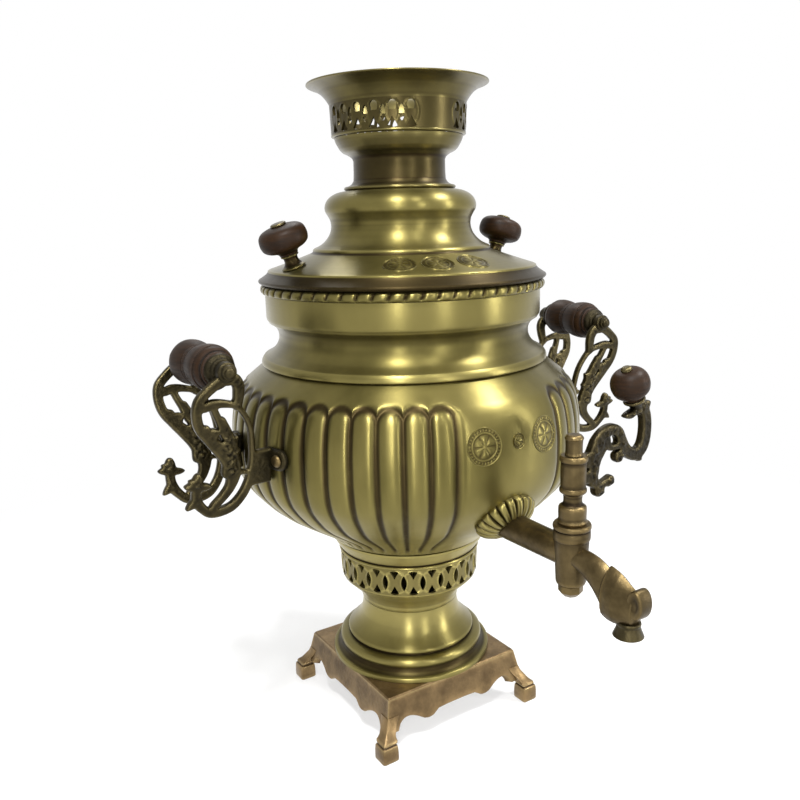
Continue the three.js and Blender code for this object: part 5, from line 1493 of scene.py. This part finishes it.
def bracketShape(facts, side):
    lean = shift(0, side * facts["spread"], facts["pivot"]) @ turn(-side * facts["lean"], "X")
    leaned = bracketCast.moved(lean @ shift(0, 0, -facts["pivot"]))
    seat = shift(facts["boltOut"], side * facts["boltSpread"], facts["boltLevel"])
    boss = alongY(lathe(bossLine, 48)).moved(seat).toned(lambda dark: 0.45)
    return leaned + boss + tongueShape(facts, side)


def tongueShape(facts, side):
    # a strap that follows the vessel's wall out to its screw
    middle = wallRadius(facts["screwLevel"])
    end = math.radians(facts["screwTurn"]) * middle
    start = 0.62 * end
    level = facts["screwLevel"]
    cap = [(end + 7 * math.sin(a), level + 7 * math.cos(a)) for a in np.linspace(0, math.pi, 14)]
    loop = [(start, level - 7), (start, level + 7)] + cap
    flat, faces, rims, gaps = netOf([np.array(loop[::-1])], 1.5, (0.4, 1.0))
    soft = np.clip(gaps / 1.2, 0, 1)

    def skin(lift, rounding):
        def place(p, i):
            r = wallRadius(p[1]) + lift - rounding * (1 - soft[i]) ** 2
            angle = side * p[0] / middle
            return (r * math.cos(angle), r * math.sin(angle), p[1])
        return place

    points, solid = thicken(flat, faces, rims, skin(3.4, 1.2), skin(0.35, 0))
    return Shape(points, solid, list(0.8 * (1 - soft)) * 2)


gripHalf = 24.85
gripSide = [
    [(12.5, 0), (12.9, 0.5), (12.9, 1.3)], [(12.4, 1.7), (12.9, 2.2)],
    [(14.0, 7.0), (14.6, 13.0), (14.3, 16.8)], [(13.6, 17.3), (13.7, 17.9)], [(13.0, 20.0), (11.9, 21.8)],
    [(10.6, 22.3), (11.0, 23.0), (10.8, 24.0), (9.6, gripHalf)], [(2.5, gripHalf)],
]
gripLine = outlineOf(*gripSide)
gripLine = [(r, -y) for r, y in gripLine[::-1]] + gripLine[1:]
cupLine = outlineOf(
    [(2.5, 30.65), (6.6, 30.65)], [(7.4, 30.0), (8.0, 29.0), (9.6, 27.6), (10.3, 26.3)], [(10.0, 25.2)],
    [(2.5, 25.2)],
)
domeLine = outlineOf([(0, 0), (4.6, 0)], [(4.8, 0.9), (4.4, 1.9)],
    [(3.6, 2.2), (3.3, 3.2), (2.2, 4.2), (0, 4.6)])
headLine = outlineOf([(0, 3.7), (4.0, 3.7)], [(4.0, 4.3), (3.2, 5.4), (1.8, 6.0), (0, 6.2)])


def addHandle(hand, front, place, facts):
    bolt = place @ shift(facts["boltOut"], 0, facts["boltLevel"])
    face = facts["boltSpread"] + 3.5

    def add(name, shape, finish, node, **more):
        addPiece(f"{hand}_{name}", shape, finish, "stand", [f"{hand}_{node}"], **more)

    for where, side in (("front", front), ("back", -front)):
        bracket = bracketShape(facts, side).moved(place)
        add(f"bracket_casting_{where}", bracket, darkBronze, f"bracket_{where}", sharp=50)
        cup = alongY(lathe(cupLine, 56)).moved(turn(180, "Z") if side > 0 else Matrix())
        cup = cup.toned(lambda dark: 0.75 if dark > -0.3 else dark)
        add(f"cup_turned_{where}", cup.moved(bolt), darkBronze, f"cup_{where}")
        wall = shift(wallRadius(facts["screwLevel"]), 0, facts["screwLevel"])
        screw = lathe([(0, -6), (2, -6), (2, 3.7), (0, 3.7)], 20) + lathe(headLine, 36)
        screw = screw.moved(place @ (turn(side * facts["screwTurn"], "Z") @ wall @ turn(90, "Y")))
        add(f"screw_domed_{where}", screw, tapBronze, f"handle_screw_{where}")
        keepNode(f"{hand}_handle_nut_{where}", bronze)
    add("grip_wood", alongY(lathe(gripLine, 80)).moved(bolt), wood, "grip")
    shank = alongY(lathe([(0, -face), (2.2, -face), (2.2, face), (0, face)], 20))
    head = alongY(lathe(domeLine, 40).moved(shift(0, 0, face)))
    head = head.toned(lambda dark: 0.4 + 0.5 * max(dark, 0))
    add("bolt_domed", (shank + head.moved(turn(180, "Z"))).moved(bolt), darkBronze, "grip_bolt")
    add("nut_domed", head.moved(bolt), darkBronze, "grip_nut")


for hand, front, swing in (("right", -1, -handleFacts["turn"]), ("left", 1, 180 + handleFacts["turn"])):
    addHandle(hand, front, turn(swing, "Z"), handleFacts)
print("handles made")

# ---- inside the vessel

tubeLine = [
    (35, 142.3), (54.3, 142.3), (54.3, 144.7), (40, 144.7), (30, 329.3), (30, 414.2), (28, 414.2),
    (28, 329.3), (37.6, 147.1), (35, 147.1),
]
addPiece("fire_tube_drawn", lathe(tubeLine, 96), brass, "stand", ["fire_tube"])
keepNode("grate", iron)
